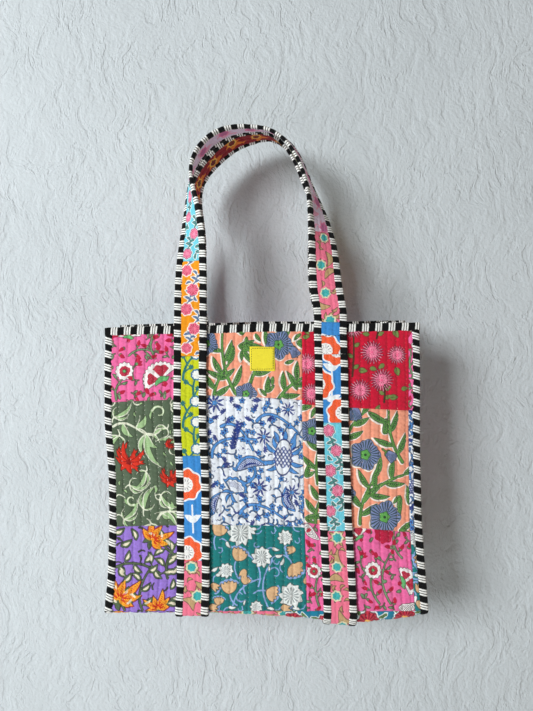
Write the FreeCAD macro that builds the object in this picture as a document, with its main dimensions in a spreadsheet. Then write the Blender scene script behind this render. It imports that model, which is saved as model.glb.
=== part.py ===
import FreeCAD, Part
import os
from math import cos, pi, sin, sqrt

import Sketcher

# A quilted patchwork tote for knitting, hanging by its two handles.
# Row frame in millimetres: +X to the bag's right as seen from the front, +Y to the back, +Z up.
# The origin is where a hook carries both handles, under their crowns.
# The main strip (front panel, bottom panel, back panel) is one U seen from the side. A gusset closes
# each end of it, turned out at its edges and sewn to the strip, with a striped binding over the seam.

SIZES = [
    ("handle_drop", 257, "hook to the top edge of the panels"),
    ("body_height", 375, "top edge of the panels to the underside"),
    ("width_top", 404, "over both seam bindings at the top edge"),
    ("width_base", 410, "over both seam bindings at the bottom"),
    ("mouth_depth", 76, "front to back over the panels at the top edge, as it hangs"),
    ("base_depth", 112, "front to back over the panels at the bottom"),
    ("fold_radius", 12, "outside radius where the bottom panel turns up"),
    ("fold_height", 14, "underside to the seams of the front and back panels"),
    ("patch_thick", 0.6, "printed cotton patch"),
    ("wadding_thick", 1.5, "cotton wadding"),
    ("lining_thick", 0.5, "lining cloth"),
    ("binding_width", 10, "finished width of the striped binding"),
    ("binding_thick", 0.8, "binding tape"),
    ("sew_gap", 0.2, "clearance where one piece ends against the next"),
    ("strap_width", 42, "over both bindings of a strap"),
    ("strap_spacing", 180, "between the middles of the two straps of one face, at the top edge"),
    ("strap_splay", 4, "how far each strap has moved outwards at the bottom"),
    ("tack_depth", 15, "panel top edge down to the row that tacks a strap"),
    ("tack_thread", 0.5, "thickness of the tacking thread"),
    ("handle_offset", 1.2, "how far a handle stands in front of its strap run"),
    ("crown_gap", 4, "between the two handles on the hook"),
    ("twist_start", 0.88, "share of the drop where a handle begins to turn edge on"),
    ("twist_end", 0.29, "share of the drop where it lies across the hook"),
    ("seam_left", 73, "middle of the bag to the seam left of it, front and back"),
    ("seam_right", 51, "middle to the seam right of it"),
    ("seam_edge", 188, "middle to the seam of the narrow edge patches"),
    ("row_upper", 95, "top edge to the seam under the first row"),
    ("row_lower", 255, "top edge to the seam under the second row"),
    ("row_slant", 11, "how far the right column's seams fall towards the side"),
    ("bottom_seam_left", 72, "middle to the left seam of the bottom panel"),
    ("bottom_seam_right", 24, "middle to its right seam"),
    ("label_width", 32, "blank label"),
    ("label_height", 31, "blank label"),
    ("label_depth", 29, "top edge to the label's upper edge"),
    ("label_thick", 0.6, "label cloth"),
]

# Centreline of a handle from its left foot to its right foot: shares of half the strap spacing and of the drop.
# It bends over the hook a little left of the middle.
HANDLE_ARCH = [
    (-1.00, 1.00), (-1.00, 0.88), (-1.00, 0.70), (-1.00, 0.52), (-1.03, 0.37), (-1.06, 0.26), (-1.00, 0.17),
    (-0.87, 0.10), (-0.68, 0.045), (-0.43, 0.010), (-0.15, 0.000), (0.10, 0.012), (0.32, 0.055), (0.50, 0.130),
    (0.63, 0.230), (0.73, 0.350), (0.81, 0.480), (0.88, 0.630), (0.94, 0.790), (1.00, 0.900), (1.00, 1.00),
]
HANDLE_STATIONS = 64

document = FreeCAD.newDocument("knitting_bag")
sheet = document.addObject("Spreadsheet::Sheet", "Sizes")
for row, (alias, value, meaning) in enumerate(SIZES, start=1):
    sheet.set(f"A{row}", alias)
    sheet.set(f"B{row}", str(value))
    sheet.set(f"C{row}", meaning)
    sheet.setAlias(f"B{row}", alias)
document.recompute()

subparts = []


def size(alias):
    """The sheet's value of an alias, as a plain number."""
    return float(getattr(sheet, alias))


def expand(text):
    """An expression for FreeCAD from words of the sheet, with the derived words below filled in."""
    for word, meaning in DERIVED:
        text = text.replace(word, f"({meaning})")
    for alias, _, _ in SIZES:
        text = text.replace(f"[{alias}]", f"Sizes.{alias}")
    return text


# Words for use in expressions, each made only of what comes after it.
DERIVED = [
    ("CREASE", "sqrt(GUSSET_HALF^2 - MOUTH_INSIDE^2)"),
    ("GUSSET_HALF", "[base_depth] / 2 - QUILT * SLOPE"),
    ("MOUTH_INSIDE", "[mouth_depth] / 2 - QUILT * SLOPE"),
    ("SEAM_DEPTH", "2 * QUILT + [sew_gap]"),
    ("STRAP_PROUD", "QUILT + 2 * [binding_thick]"),
    ("QUILT", "[patch_thick] + [wadding_thick] + [lining_thick]"),
    ("SLOPE", "sqrt(1 + (([base_depth] - [mouth_depth]) / 2 / [body_height])^2)"),
    ("RIM", "HEM + [binding_thick]"),
    ("BASE", "HEM - [body_height]"),
    ("HEM", "0 - [handle_drop]"),
]


def value_of(text):
    """The number that an expression gives."""
    return float(sheet.evalExpression(expand(text)))


def along(top, base, height):
    """An expression that runs straight from top, at the panels' top edge, to base, at the underside."""
    return f"({top}) + (({base}) - ({top})) * (HEM - ({height})) / [body_height]"


def half_depth(height):
    return along("[mouth_depth] / 2", "[base_depth] / 2", height)


def half_width(height):
    return along("[width_top] / 2", "[width_base] / 2", height)


def draw_polygon(sketch, corners):
    """A closed outline whose corners are pairs of expressions."""
    points = [(value_of(x), value_of(y)) for x, y in corners]
    count = len(points)
    for i, (x, y) in enumerate(points):
        to_x, to_y = points[(i + 1) % count]
        sketch.addGeometry(Part.LineSegment(FreeCAD.Vector(x, y, 0), FreeCAD.Vector(to_x, to_y, 0)))
    for i in range(count):
        sketch.addConstraint(Sketcher.Constraint("Coincident", i, 2, (i + 1) % count, 1))
    for i, corner in enumerate(corners):
        for kind, number, expression in zip(("DistanceX", "DistanceY"), points[i], corner):
            held = sketch.addConstraint(Sketcher.Constraint(kind, -1, 1, i, 1, number))
            sketch.setExpression(f"Constraints[{held}]", expand(expression))


def sketch_in(body, role, name, corners):
    sketch = body.newObject("Sketcher::SketchObject", name)
    plane = next(o for o in body.Origin.OriginFeatures if o.Role == role)
    sketch.AttachmentSupport = [(plane, "")]
    sketch.MapMode = "FlatFace"
    draw_polygon(sketch, corners)
    return sketch


def new_body(name):
    return document.addObject("PartDesign::Body", name)


def as_subpart(piece, label):
    piece.Label = label
    subparts.append(piece)
    return piece


def pad_both_ways(body, sketch, name, length):
    pad = body.newObject("PartDesign::Pad", name)
    pad.Profile = sketch
    pad.SideType = "Symmetric"
    pad.setExpression("Length", expand(length))
    document.recompute()
    return pad


# The space inside the main strip's outer face, moved in by some inset, is a prism along X. Walls are
# differences of two of them.
prisms = {}


def strip_prism(inset):
    """The U of the main strip as a solid, inset from its outer face by an expression."""
    if inset in prisms:
        return prisms[inset]
    name = f"StripPrism{len(prisms)}"
    body = new_body(name)
    low = f"BASE + ({inset})"
    front_top = f"({inset}) * SLOPE - ({half_depth('RIM')})"
    front_low = f"({inset}) * SLOPE - ({half_depth(low)})"
    corners = [(front_low, low), (f"0 - ({front_low})", low), (f"0 - ({front_top})", "RIM"), (front_top, "RIM")]
    sketch = sketch_in(body, "YZ_Plane", f"{name}Profile", corners)
    pad = pad_both_ways(body, sketch, f"{name}Pad", "[width_base] * 1.2")
    floor = value_of(low)
    fold_edges = [
        f"Edge{i}" for i, edge in enumerate(pad.Shape.Edges, start=1)
        if edge.BoundBox.XLength > 10 and edge.BoundBox.ZMax < floor + 0.01
    ]
    fold = body.newObject("PartDesign::Fillet", f"{name}Fold")
    fold.Base = (pad, fold_edges)
    fold.setExpression("Radius", expand(f"[fold_radius] - ({inset})"))
    prisms[inset] = body
    document.recompute()
    return body


def boolean(kind, name, *inputs):
    """A Part boolean: Cut and Common take a base and a tool, MultiFuse any number."""
    result = document.addObject(f"Part::{kind}", name)
    if kind == "MultiFuse":
        result.Shapes = list(inputs)
    else:
        result.Base, result.Tool = inputs
    return result


def strip_wall(name, near, far):
    """The main strip between two insets, full width and full height."""
    return boolean("Cut", name, strip_prism(near), strip_prism(far))


def region(name, x_low, x_high, z_low, z_high):
    """A box that spans the bag's depth, between expressions in X and Z."""
    box = document.addObject("Part::Box", name)
    box.setExpression("Length", expand(f"({x_high}) - ({x_low})"))
    box.setExpression("Width", expand("[base_depth] * 2"))
    box.setExpression("Height", expand(f"({z_high}) - ({z_low})"))
    box.setExpression("Placement.Base.x", expand(x_low))
    box.setExpression("Placement.Base.y", expand("0 - [base_depth]"))
    box.setExpression("Placement.Base.z", expand(z_low))
    return box


def edge_slab(name, inner, outer, z_low, z_high):
    """What lies between two distances in from the right seam binding's outer edge, which splays downwards."""
    body = new_body(name)
    corners = [
        (f"{half_width(z_low)} - ({inner})", z_low), (f"{half_width(z_low)} - ({outer})", z_low),
        (f"{half_width(z_high)} - ({outer})", z_high), (f"{half_width(z_high)} - ({inner})", z_high),
    ]
    sketch = sketch_in(body, "XZ_Plane", f"{name}Outline", corners)
    pad_both_ways(body, sketch, f"{name}Pad", "[base_depth] * 2")
    return body


def mirrored(source, name):
    """The left-hand copy of a right-hand piece."""
    copy = document.addObject("Part::Mirroring", name)
    copy.Source = source
    copy.Normal = (1, 0, 0)
    copy.Base = (0, 0, 0)
    return copy


# ---- front and back panels: flat quilted pieces in the plane of each panel ----
FACES = {"front": -1, "back": 1}


def panel_piece(label, face, corners, near, far):
    """A flat piece in the front or back panel, between two insets from the outer face.

    Corners are (x, depth below the top edge) pairs of expressions. The sketch's Y runs up the panel."""
    body = new_body(label)
    outline = [(x, f"0 - ({depth}) * SLOPE") for x, depth in corners]
    sketch = sketch_in(body, "XY_Plane", f"{label}_outline", outline)
    inset = f"0 - ({far})" if face == "front" else near
    sketch.setExpression("AttachmentOffset.Base.z", expand(inset))
    pad = body.newObject("PartDesign::Pad", f"{label}_pad")
    pad.Profile = sketch
    pad.setExpression("Length", expand(f"({far}) - ({near})"))
    sign = FACES[face]
    lean = "atan(([base_depth] - [mouth_depth]) / 2 / [body_height])"
    body.Placement = FreeCAD.Placement(FreeCAD.Vector(), FreeCAD.Rotation(FreeCAD.Vector(1, 0, 0), 90))
    body.setExpression("Placement.Rotation.Angle", expand(f"90 deg + ({sign}) * {lean}"))
    body.setExpression("Placement.Base.y", expand(f"({sign}) * [mouth_depth] / 2"))
    body.setExpression("Placement.Base.z", expand("HEM"))
    return as_subpart(body, label)


PANEL_FOOT = "[body_height] - [fold_height]"


def panel_side(depth, sign):
    """Where a panel ends inside its seam binding."""
    return f"({sign}) * ({half_width(f'HEM - ({depth})')} - [binding_thick])"


def row_seams(column):
    """Depths of the two row seams at a column's left and right sides."""
    fall = "[row_slant]" if column == "right" else "0"
    return [("[row_upper]", f"[row_upper] + {fall}"), ("[row_lower]", f"[row_lower] + {fall}")]


def column_side(column, side, depth):
    """X of a column's left or right side at a depth."""
    sides = {
        "left": (panel_side(depth, -1), "0 - [seam_left]"),
        "centre": ("0 - [seam_left]", "[seam_right]"),
        "right": ("[seam_right]", "[seam_edge]"),
        "edge": ("[seam_edge]", panel_side(depth, 1)),
    }
    return sides[column][side]


def patch_corners(column, row):
    """Corners of a patch in column and row, row 0 at the top."""
    seams = [("0", "0"), *row_seams(column), (PANEL_FOOT, PANEL_FOOT)]
    if column == "edge":
        seams[1:3] = [(f"{upper} + [row_slant]",) * 2 for upper in ("[row_upper]", "[row_lower]")]
    (top_left, top_right), (foot_left, foot_right) = seams[row], seams[row + 1]
    return [
        (column_side(column, 0, foot_left), foot_left), (column_side(column, 1, foot_right), foot_right),
        (column_side(column, 1, top_right), top_right), (column_side(column, 0, top_left), top_left),
    ]


def whole_panel():
    return [
        (panel_side(PANEL_FOOT, -1), PANEL_FOOT), (panel_side(PANEL_FOOT, 1), PANEL_FOOT),
        (panel_side("0", 1), "0"), (panel_side("0", -1), "0"),
    ]


LAYERS = {
    "wadding": ("[patch_thick]", "[patch_thick] + [wadding_thick]"),
    "lining": ("[patch_thick] + [wadding_thick]", "QUILT"),
}
ROWS = ("top", "middle", "bottom")

for face in FACES:
    for column in ("left", "centre", "right", "edge"):
        for row, row_name in enumerate(ROWS):
            panel_piece(f"{face}_patch_{column}_{row_name}", face, patch_corners(column, row), "0", "[patch_thick]")
    for layer, (near, far) in LAYERS.items():
        panel_piece(f"{face}_{layer}", face, whole_panel(), near, far)

label_foot = "[label_depth] + [label_height]"
label_corners = [
    ("0 - [label_width] / 2", label_foot), ("[label_width] / 2", label_foot),
    ("[label_width] / 2", "[label_depth]"), ("0 - [label_width] / 2", "[label_depth]"),
]
panel_piece("blank_label", "front", label_corners, "0 - [label_thick]", "0")

# ---- bottom panel: the same three layers, turned up at the front and back ----
bottom_end = "[width_base] / 2 - [binding_thick] - 2 * [sew_gap]"
bottom_top = "BASE + [fold_height] - [sew_gap]"
bottom_patches = {
    "bottom_patch_left": (f"0 - ({bottom_end})", "0 - [bottom_seam_left]"),
    "bottom_patch_centre": ("0 - [bottom_seam_left]", "[bottom_seam_right]"),
    "bottom_patch_right": ("[bottom_seam_right]", bottom_end),
}
patch_wall = strip_wall("PatchWall", "0", "[patch_thick]")
for label, (x_low, x_high) in bottom_patches.items():
    trim = region(f"{label}_extent", x_low, x_high, "BASE - 1", bottom_top)
    as_subpart(boolean("Common", label, patch_wall, trim), label)
for layer, (near, far) in LAYERS.items():
    trim = region(f"bottom_{layer}_extent", f"0 - ({bottom_end})", bottom_end, "BASE - 1", bottom_top)
    wall = strip_wall(f"Bottom{layer.title()}Wall", near, far)
    as_subpart(boolean("Common", f"bottom_{layer}", wall, trim), f"bottom_{layer}")


# ---- gussets: folded inwards towards the mouth, turned out at their three sewn edges ----
# Each gusset is a rectangle of cloth as wide as the bottom is deep. The mouth is narrower, so a fold line runs
# from its middle there to each bottom corner: a middle triangle M and, on both sides, a leaning triangle S.
#   M: x = f1(z), straight from the inner end of the fold at the top edge to the corner at the bottom.
#   S: x = f2(z) + (CREASE / MOUTH_INSIDE) * |y|, through the same fold line and the seam.
# The outboard side of the gusset is where x is more than both.
SEAM_X = {"HEM": "[width_top] / 2 - [binding_width]", "BASE": "[width_base] / 2 - [binding_width]"}


def outboard(name, offset, reach):
    """Everything right of the gusset's inside face moved out by offset, up to reach from the outer edge."""
    back = "GUSSET_HALF * 1.2"
    fold_top = f"{SEAM_X['HEM']} - CREASE"
    lean_base = f"{SEAM_X['BASE']} - CREASE * GUSSET_HALF / MOUTH_INSIDE"
    fall = f"(({fold_top}) - ({lean_base})) / [body_height]"
    stretch = f"sqrt(1 + (CREASE / MOUTH_INSIDE)^2 + ({fall})^2)"
    outlines = []
    for level, height in (("Low", "BASE"), ("Rim", "RIM")):
        valley = f"{along(fold_top, lean_base, height)} - (QUILT - ({offset})) * {stretch}"
        wing = f"{valley} + CREASE / MOUTH_INSIDE * {back}"
        outline = document.addObject("Sketcher::SketchObject", f"{name}{level}")
        far = f"{wing} + [width_base]"
        draw_polygon(outline, [(wing, f"0 - {back}"), (far, f"0 - {back}"), (far, back), (wing, back), (valley, "0")])
        outline.setExpression("Placement.Base.z", expand(height))
        outlines.append(outline)
    leaning = document.addObject("Part::Loft", f"{name}Leaning")
    leaning.Sections = outlines
    leaning.Solid = True
    leaning.Ruled = True
    body = new_body(f"{name}Middle")
    corners = []
    for height in ("BASE", "RIM"):
        face = f"{along(fold_top, SEAM_X['BASE'], height)} - (QUILT - ({offset}))"
        edge = f"{half_width(height)} - ({reach})"
        corners += [(face, height), (edge, height)] if height == "BASE" else [(edge, height), (face, height)]
    sketch = sketch_in(body, "XZ_Plane", f"{name}MiddleOutline", corners)
    pad_both_ways(body, sketch, f"{name}MiddlePad", "[base_depth] * 1.5")
    return boolean("Common", name, leaning, body)


def gusset_space(name, offset, inset, reach="[binding_thick]"):
    """What a gusset layer and all that lies outboard of it fill, inside the main strip at an inset."""
    return boolean("Common", name, outboard(f"{name}Side", offset, reach), strip_prism(inset))


below_hem = region("BelowHem", "0 - [width_base]", "[width_base]", "BASE - 20", "HEM")
gusset_levels = {
    "Lining": "0", "Wadding": "[lining_thick]", "Patch": "[lining_thick] + [wadding_thick]", "Outside": "QUILT",
}
spaces = {
    level: gusset_space(f"Gusset{level}Space", offset, f"QUILT + [sew_gap] / 2 + {offset}")
    for level, offset in gusset_levels.items()
}
gusset_walls = {}
for layer, inner, outer in (("lining", "Lining", "Wadding"), ("wadding", "Wadding", "Patch"), ("patch", "Patch", "Outside")):
    shell = boolean("Cut", f"Gusset{inner}Shell", spaces[inner], spaces[outer])
    gusset_walls[layer] = boolean("Common", f"Gusset{inner}Wall", shell, below_hem)
gusset_rows = [
    ("top", "HEM - [row_upper]", "HEM + 1"), ("middle", "HEM - [row_lower]", "HEM - [row_upper]"),
    ("bottom", "BASE - 1", "HEM - [row_lower]"),
]
gusset_pieces = {layer: gusset_walls[layer] for layer in LAYERS}
for row_name, z_low, z_high in gusset_rows:
    trim = region(f"GussetRow{row_name.title()}", "0", "[width_base]", z_low, z_high)
    name = f"GussetPatch{row_name.title()}"
    gusset_pieces[f"patch_{row_name}"] = boolean("Common", name, gusset_walls["patch"], trim)
for piece, solid in gusset_pieces.items():
    left = mirrored(solid, f"left_gusset_{piece}")
    as_subpart(left, f"left_gusset_{piece}")
    as_subpart(solid, f"right_gusset_{piece}")

# ---- seam bindings: a tape folded over the seam between the strip and each gusset ----
seam_top = "HEM - [binding_width] - [sew_gap]"
fold_over = strip_wall("SeamFoldOver", "0 - [binding_thick]", "SEAM_DEPTH + [binding_thick]")
seam_inside = strip_wall("SeamInside", "0", "SEAM_DEPTH")
tape = boolean("Common", "SeamTape", edge_slab("SeamTapeSlab", "[binding_width]", "0", "BASE - 2", seam_top), fold_over)
held_edges = boolean(
    "Common", "SeamHeldEdges",
    edge_slab("SeamHeldSlab", "[binding_width] + 1", "[binding_thick]", "BASE - 2", "RIM"), seam_inside,
)
right_seam = boolean("Cut", "right_seam_binding", tape, held_edges)
as_subpart(mirrored(right_seam, "left_seam_binding"), "left_seam_binding")
as_subpart(right_seam, "right_seam_binding")

# ---- top binding: one tape round the mouth, over the panels, the gussets and the seam ends ----
mouth_wall = strip_wall("MouthWall", "0 - [binding_thick]", "QUILT + [binding_thick]")
full_width = edge_slab("MouthHalfWidth", half_width("HEM"), "0", "HEM - 2 * [binding_width]", "RIM")
mouth_half = boolean("Common", "MouthHalfTape", mouth_wall, full_width)
pleat_tape = boolean(
    "Cut", "PleatTape",
    gusset_space("PleatTapeSpace", "0 - [binding_thick]", "QUILT", "0"),
    gusset_space("PleatTapeHollow", "QUILT + [binding_thick]", "SEAM_DEPTH + [binding_thick]", "0 - [sew_gap]"),
)
held_panels = boolean(
    "Common", "HeldPanels", strip_wall("HeldWall", "0", "QUILT"),
    edge_slab("HeldHalfWidth", half_width("HEM"), "[binding_thick]", "BASE", "HEM"),
)
held_gusset = boolean("Cut", "HeldGusset", spaces["Lining"], spaces["Outside"])
half_tape = boolean("MultiFuse", "MouthTapeSolid", mouth_half, pleat_tape)
for held in (held_panels, held_gusset):
    trimmed = boolean("Common", f"{held.Name}BelowHem", held, below_hem)
    half_tape = boolean("Cut", f"MouthTapeOver{held.Name}", half_tape, trimmed)
mouth_band = region("MouthBand", "0 - [width_base]", "[width_base]", "HEM - [binding_width]", "RIM")
right_half = boolean("Common", "MouthTapeRight", half_tape, mouth_band)
as_subpart(boolean("MultiFuse", "top_binding", right_half, mirrored(right_half, "MouthTapeLeft")), "top_binding")


# ---- strap runs: each a bound, quilted strip sewn down the front, under the bottom and up the back ----
strap_top = "HEM - [tack_depth] - [sew_gap]"
strap_band_wall = strip_wall(
    "StrapBandWall", "[sew_gap] / 2 - [binding_thick] - QUILT", "0 - [sew_gap] / 2 - [binding_thick]",
)
strap_hollow_wall = strip_wall("StrapHollowWall", "0 - [binding_thick] - QUILT", "0 - [binding_thick]")
strap_tape_wall = strip_wall("StrapTapeWall", "0 - STRAP_PROUD", "0")


def strap_lane(name, sign, near, far):
    """The lane that lies between two distances outwards from a strap's middle, front to back."""
    body = new_body(name)
    low = "BASE - 10"
    middle_low = along("[strap_spacing] / 2", "[strap_spacing] / 2 + [strap_splay]", low)
    middle_top = along("[strap_spacing] / 2", "[strap_spacing] / 2 + [strap_splay]", strap_top)
    corners = [
        (f"({sign}) * ({middle_low} + {near})", low), (f"({sign}) * ({middle_low} + {far})", low),
        (f"({sign}) * ({middle_top} + {far})", strap_top), (f"({sign}) * ({middle_top} + {near})", strap_top),
    ]
    sketch = sketch_in(body, "XZ_Plane", f"{name}Outline", corners)
    pad_both_ways(body, sketch, f"{name}Pad", "[base_depth] * 2")
    return body


for side, sign in (("left", "-1"), ("right", "1")):
    reach = "([strap_width] / 2 - [binding_thick])"
    hollow_lane = strap_lane(f"{side}_strap_hollow_extent", sign, f"0 - {reach}", reach)
    hollow = boolean("Common", f"{side}_strap_hollow", strap_hollow_wall, hollow_lane)
    band_lane = strap_lane(f"{side}_strap_extent", sign, f"0 - {reach}", reach)
    band = as_subpart(boolean("Common", f"{side}_strap_band", strap_band_wall, band_lane), f"{side}_strap_band")
    rim, leg = "[strap_width] / 2", "([strap_width] / 2 - [binding_width])"
    for edge, lane in (("inner", (f"0 - {rim}", f"0 - {leg}")), ("outer", (leg, rim))):
        label = f"{side}_strap_{edge}_binding"
        folded = boolean("Common", f"{label}_folded", strap_tape_wall, strap_lane(f"{label}_extent", sign, *lane))
        as_subpart(boolean("Cut", label, folded, hollow), label)


# ---- handles: the same strip, free of the bag, twisted to lie across the hook ----
def handle_stations(sign):
    """Middle, width direction and outward normal at each station. sign is -1 in front, 1 behind."""
    drop, half_spacing = size("handle_drop") + size("tack_depth"), size("strap_spacing") / 2
    proud = value_of("STRAP_PROUD")
    foot_z = value_of("HEM - [tack_depth] + [sew_gap]")
    foot_out = value_of(f"{half_depth('HEM - [tack_depth]')} + ({proud} / 2 + [handle_offset]) * SLOPE")
    crown_out = size("crown_gap") / 2 + size("strap_width") / 2
    crown_z = proud / 2
    lean = value_of("([base_depth] - [mouth_depth]) / 2 / [body_height]")
    straight = size("tack_depth") + size("binding_thick") + 4
    points = []
    for x_share, depth_share in HANDLE_ARCH:
        z = crown_z - (crown_z - foot_z) * depth_share
        height = z - foot_z
        rise = max(0.0, height - straight) / (drop - straight)
        eased = rise * rise * (3 - 2 * rise)
        straight_out = foot_out - lean * min(height, straight)
        out = straight_out + (crown_out - straight_out) * eased
        points.append(FreeCAD.Vector(half_spacing * x_share, sign * out, z))
    curve = Part.BSplineCurve()
    curve.interpolate(points)
    stations = []
    for i in range(HANDLE_STATIONS + 1):
        at = curve.parameterAtDistance(curve.length() * i / HANDLE_STATIONS, curve.FirstParameter)
        point = curve.value(at)
        along_strap = curve.tangent(at)[0]
        if i in (0, HANDLE_STATIONS):
            along_strap = FreeCAD.Vector(0, -sign * lean, 1).normalize() * (1 if i == 0 else -1)
        upward = along_strap.cross(FreeCAD.Vector(0, 1, 0)).normalize()
        facing = upward.cross(along_strap).normalize() * sign
        share = (crown_z - point.z) / (crown_z - foot_z)
        turn = (size("twist_start") - share) / (size("twist_start") - size("twist_end"))
        turn = min(1.0, max(0.0, turn))
        angle = pi / 2 * turn * turn * (3 - 2 * turn)
        out = facing * cos(angle) + upward * sin(angle)
        stations.append((point, along_strap.cross(out).normalize(), out))
    return stations


def swept_strip(label, stations, corners):
    """A solid through every station, in flat facets.

    Every wall between two stations is split along the same diagonal, so nested strips keep their gap."""
    rings = [[point + across * u + out * v for u, v in corners] for point, across, out in stations]
    facets = []
    for low, high in zip(rings, rings[1:]):
        for i in range(len(corners)):
            j = (i + 1) % len(corners)
            if corners[i] < corners[j]:
                facets += [(low[i], low[j], high[j]), (low[i], high[j], high[i])]
            else:
                facets += [(low[i], low[j], high[i]), (low[j], high[j], high[i])]
    facets += [rings[0], rings[-1]]
    shell = Part.Compound([Part.Face(Part.makePolygon([*loop, loop[0]])) for loop in facets])
    shell.sewShape()
    solid = Part.Solid(Part.Shell(shell.Faces))
    if solid.Volume < 0:
        solid.reverse()
    piece = document.addObject("Part::Feature", label)
    piece.Shape = solid
    return as_subpart(piece, label)


def channel(way):
    """Section of a folded tape on one edge of a strap. way is 1 or -1, across the strap."""
    edge, leg = size("strap_width") / 2, size("strap_width") / 2 - size("binding_width")
    outer = value_of("STRAP_PROUD") / 2
    inner = value_of("QUILT / 2") + size("sew_gap") / 2
    web = edge - size("binding_thick") + size("sew_gap") / 2
    loop = [(leg, outer), (edge, outer), (edge, -outer), (leg, -outer), (leg, -inner), (web, -inner), (web, inner), (leg, inner)]
    return [(way * u, v) for u, v in loop]


band_half, band_thick = size("strap_width") / 2 - size("binding_thick"), value_of("QUILT / 2")
bound = size("strap_width") / 2 - size("binding_width")
band_section = [(u, -band_thick) for u in (-band_half, -bound, bound, band_half)]
band_section += [(u, band_thick) for u in (band_half, bound, -bound, -band_half)]
for face, sign in FACES.items():
    stations = handle_stations(sign)
    swept_strip(f"{face}_handle_band", stations, band_section)
    for edge, way in (("inner", 1), ("outer", -1)):
        swept_strip(f"{face}_handle_{edge}_binding", stations, channel(way * -sign))

# ---- tacking rows: thread over each strap just under the top binding ----
bars = []
for face, sign in FACES.items():
    for side, way in (("left", -1), ("right", 1)):
        bar = document.addObject("Part::Box", f"{face}_{side}_tack_bar")
        bar.setExpression("Length", expand("[strap_width] - 2 * [binding_width] - 2"))
        bar.setExpression("Width", expand("[tack_thread]"))
        bar.setExpression("Height", expand("[tack_thread]"))
        start = f"({way}) * [strap_spacing] / 2 - [strap_width] / 2 + [binding_width] + 1"
        bar.setExpression("Placement.Base.x", expand(start))
        out = f"({half_depth('HEM - [tack_depth]')} + (QUILT + [binding_thick]) * SLOPE + [sew_gap])"
        bar.setExpression("Placement.Base.y", expand(out if sign > 0 else f"0 - {out} - [tack_thread]"))
        bar.setExpression("Placement.Base.z", expand("HEM - [tack_depth] - [binding_thick] - [tack_thread]"))
        bars.append(bar)
threads = document.addObject("Part::Compound", "tacking_threads")
threads.Links = bars
as_subpart(threads, "tacking_threads")

document.recompute()
for item in document.Objects:
    if "Invalid" in item.State or "Error" in item.State:
        raise RuntimeError(f"{item.Label} failed to build: {item.State}")
os.makedirs("parts", exist_ok=True)
for piece in subparts:
    shape = piece.Shape
    if shape.isNull() or not shape.isValid() or not shape.Solids:
        raise RuntimeError(f"{piece.Label} is not a valid solid")
    shape.exportStep(f"parts/{piece.Label}.step")
    print(f"{piece.Label}: {len(shape.Solids)} solid, {shape.Volume / 1000:.2f} cm3")
print(len(subparts), "sub-parts")
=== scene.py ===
from math import cos, pi, radians, sin

import bpy
import numpy as np
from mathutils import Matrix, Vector


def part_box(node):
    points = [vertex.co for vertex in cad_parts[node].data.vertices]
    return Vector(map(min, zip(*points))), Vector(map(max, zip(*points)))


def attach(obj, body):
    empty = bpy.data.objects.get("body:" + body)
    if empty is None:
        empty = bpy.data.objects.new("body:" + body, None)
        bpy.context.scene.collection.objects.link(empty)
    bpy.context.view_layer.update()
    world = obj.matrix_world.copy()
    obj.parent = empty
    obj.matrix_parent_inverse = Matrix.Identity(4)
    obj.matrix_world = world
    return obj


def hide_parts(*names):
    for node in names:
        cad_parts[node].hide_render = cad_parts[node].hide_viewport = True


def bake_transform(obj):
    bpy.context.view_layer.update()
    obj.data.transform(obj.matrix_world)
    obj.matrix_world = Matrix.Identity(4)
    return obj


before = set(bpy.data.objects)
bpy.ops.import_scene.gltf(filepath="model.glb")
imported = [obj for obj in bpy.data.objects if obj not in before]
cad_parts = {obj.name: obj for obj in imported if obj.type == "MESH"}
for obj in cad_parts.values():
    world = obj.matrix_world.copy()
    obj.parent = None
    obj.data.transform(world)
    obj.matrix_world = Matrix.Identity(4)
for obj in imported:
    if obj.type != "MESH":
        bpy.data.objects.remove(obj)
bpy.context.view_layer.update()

mm = 0.001


def nodeSpan(node):
    # A node's lowest and highest corners, in millimetres.
    low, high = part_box(node)
    return np.array(low) / mm, np.array(high) / mm


def through(knots, values, blur=41):
    # A soft line through a few points: straight runs, then the average over a sliding window.
    at = np.linspace(knots[0], knots[-1], 600)
    line = np.pad(np.interp(at, knots, values), blur // 2, mode="edge")
    line = np.convolve(line, np.ones(blur) / blur, mode="valid")
    return lambda x: np.interp(x, at, line)


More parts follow.
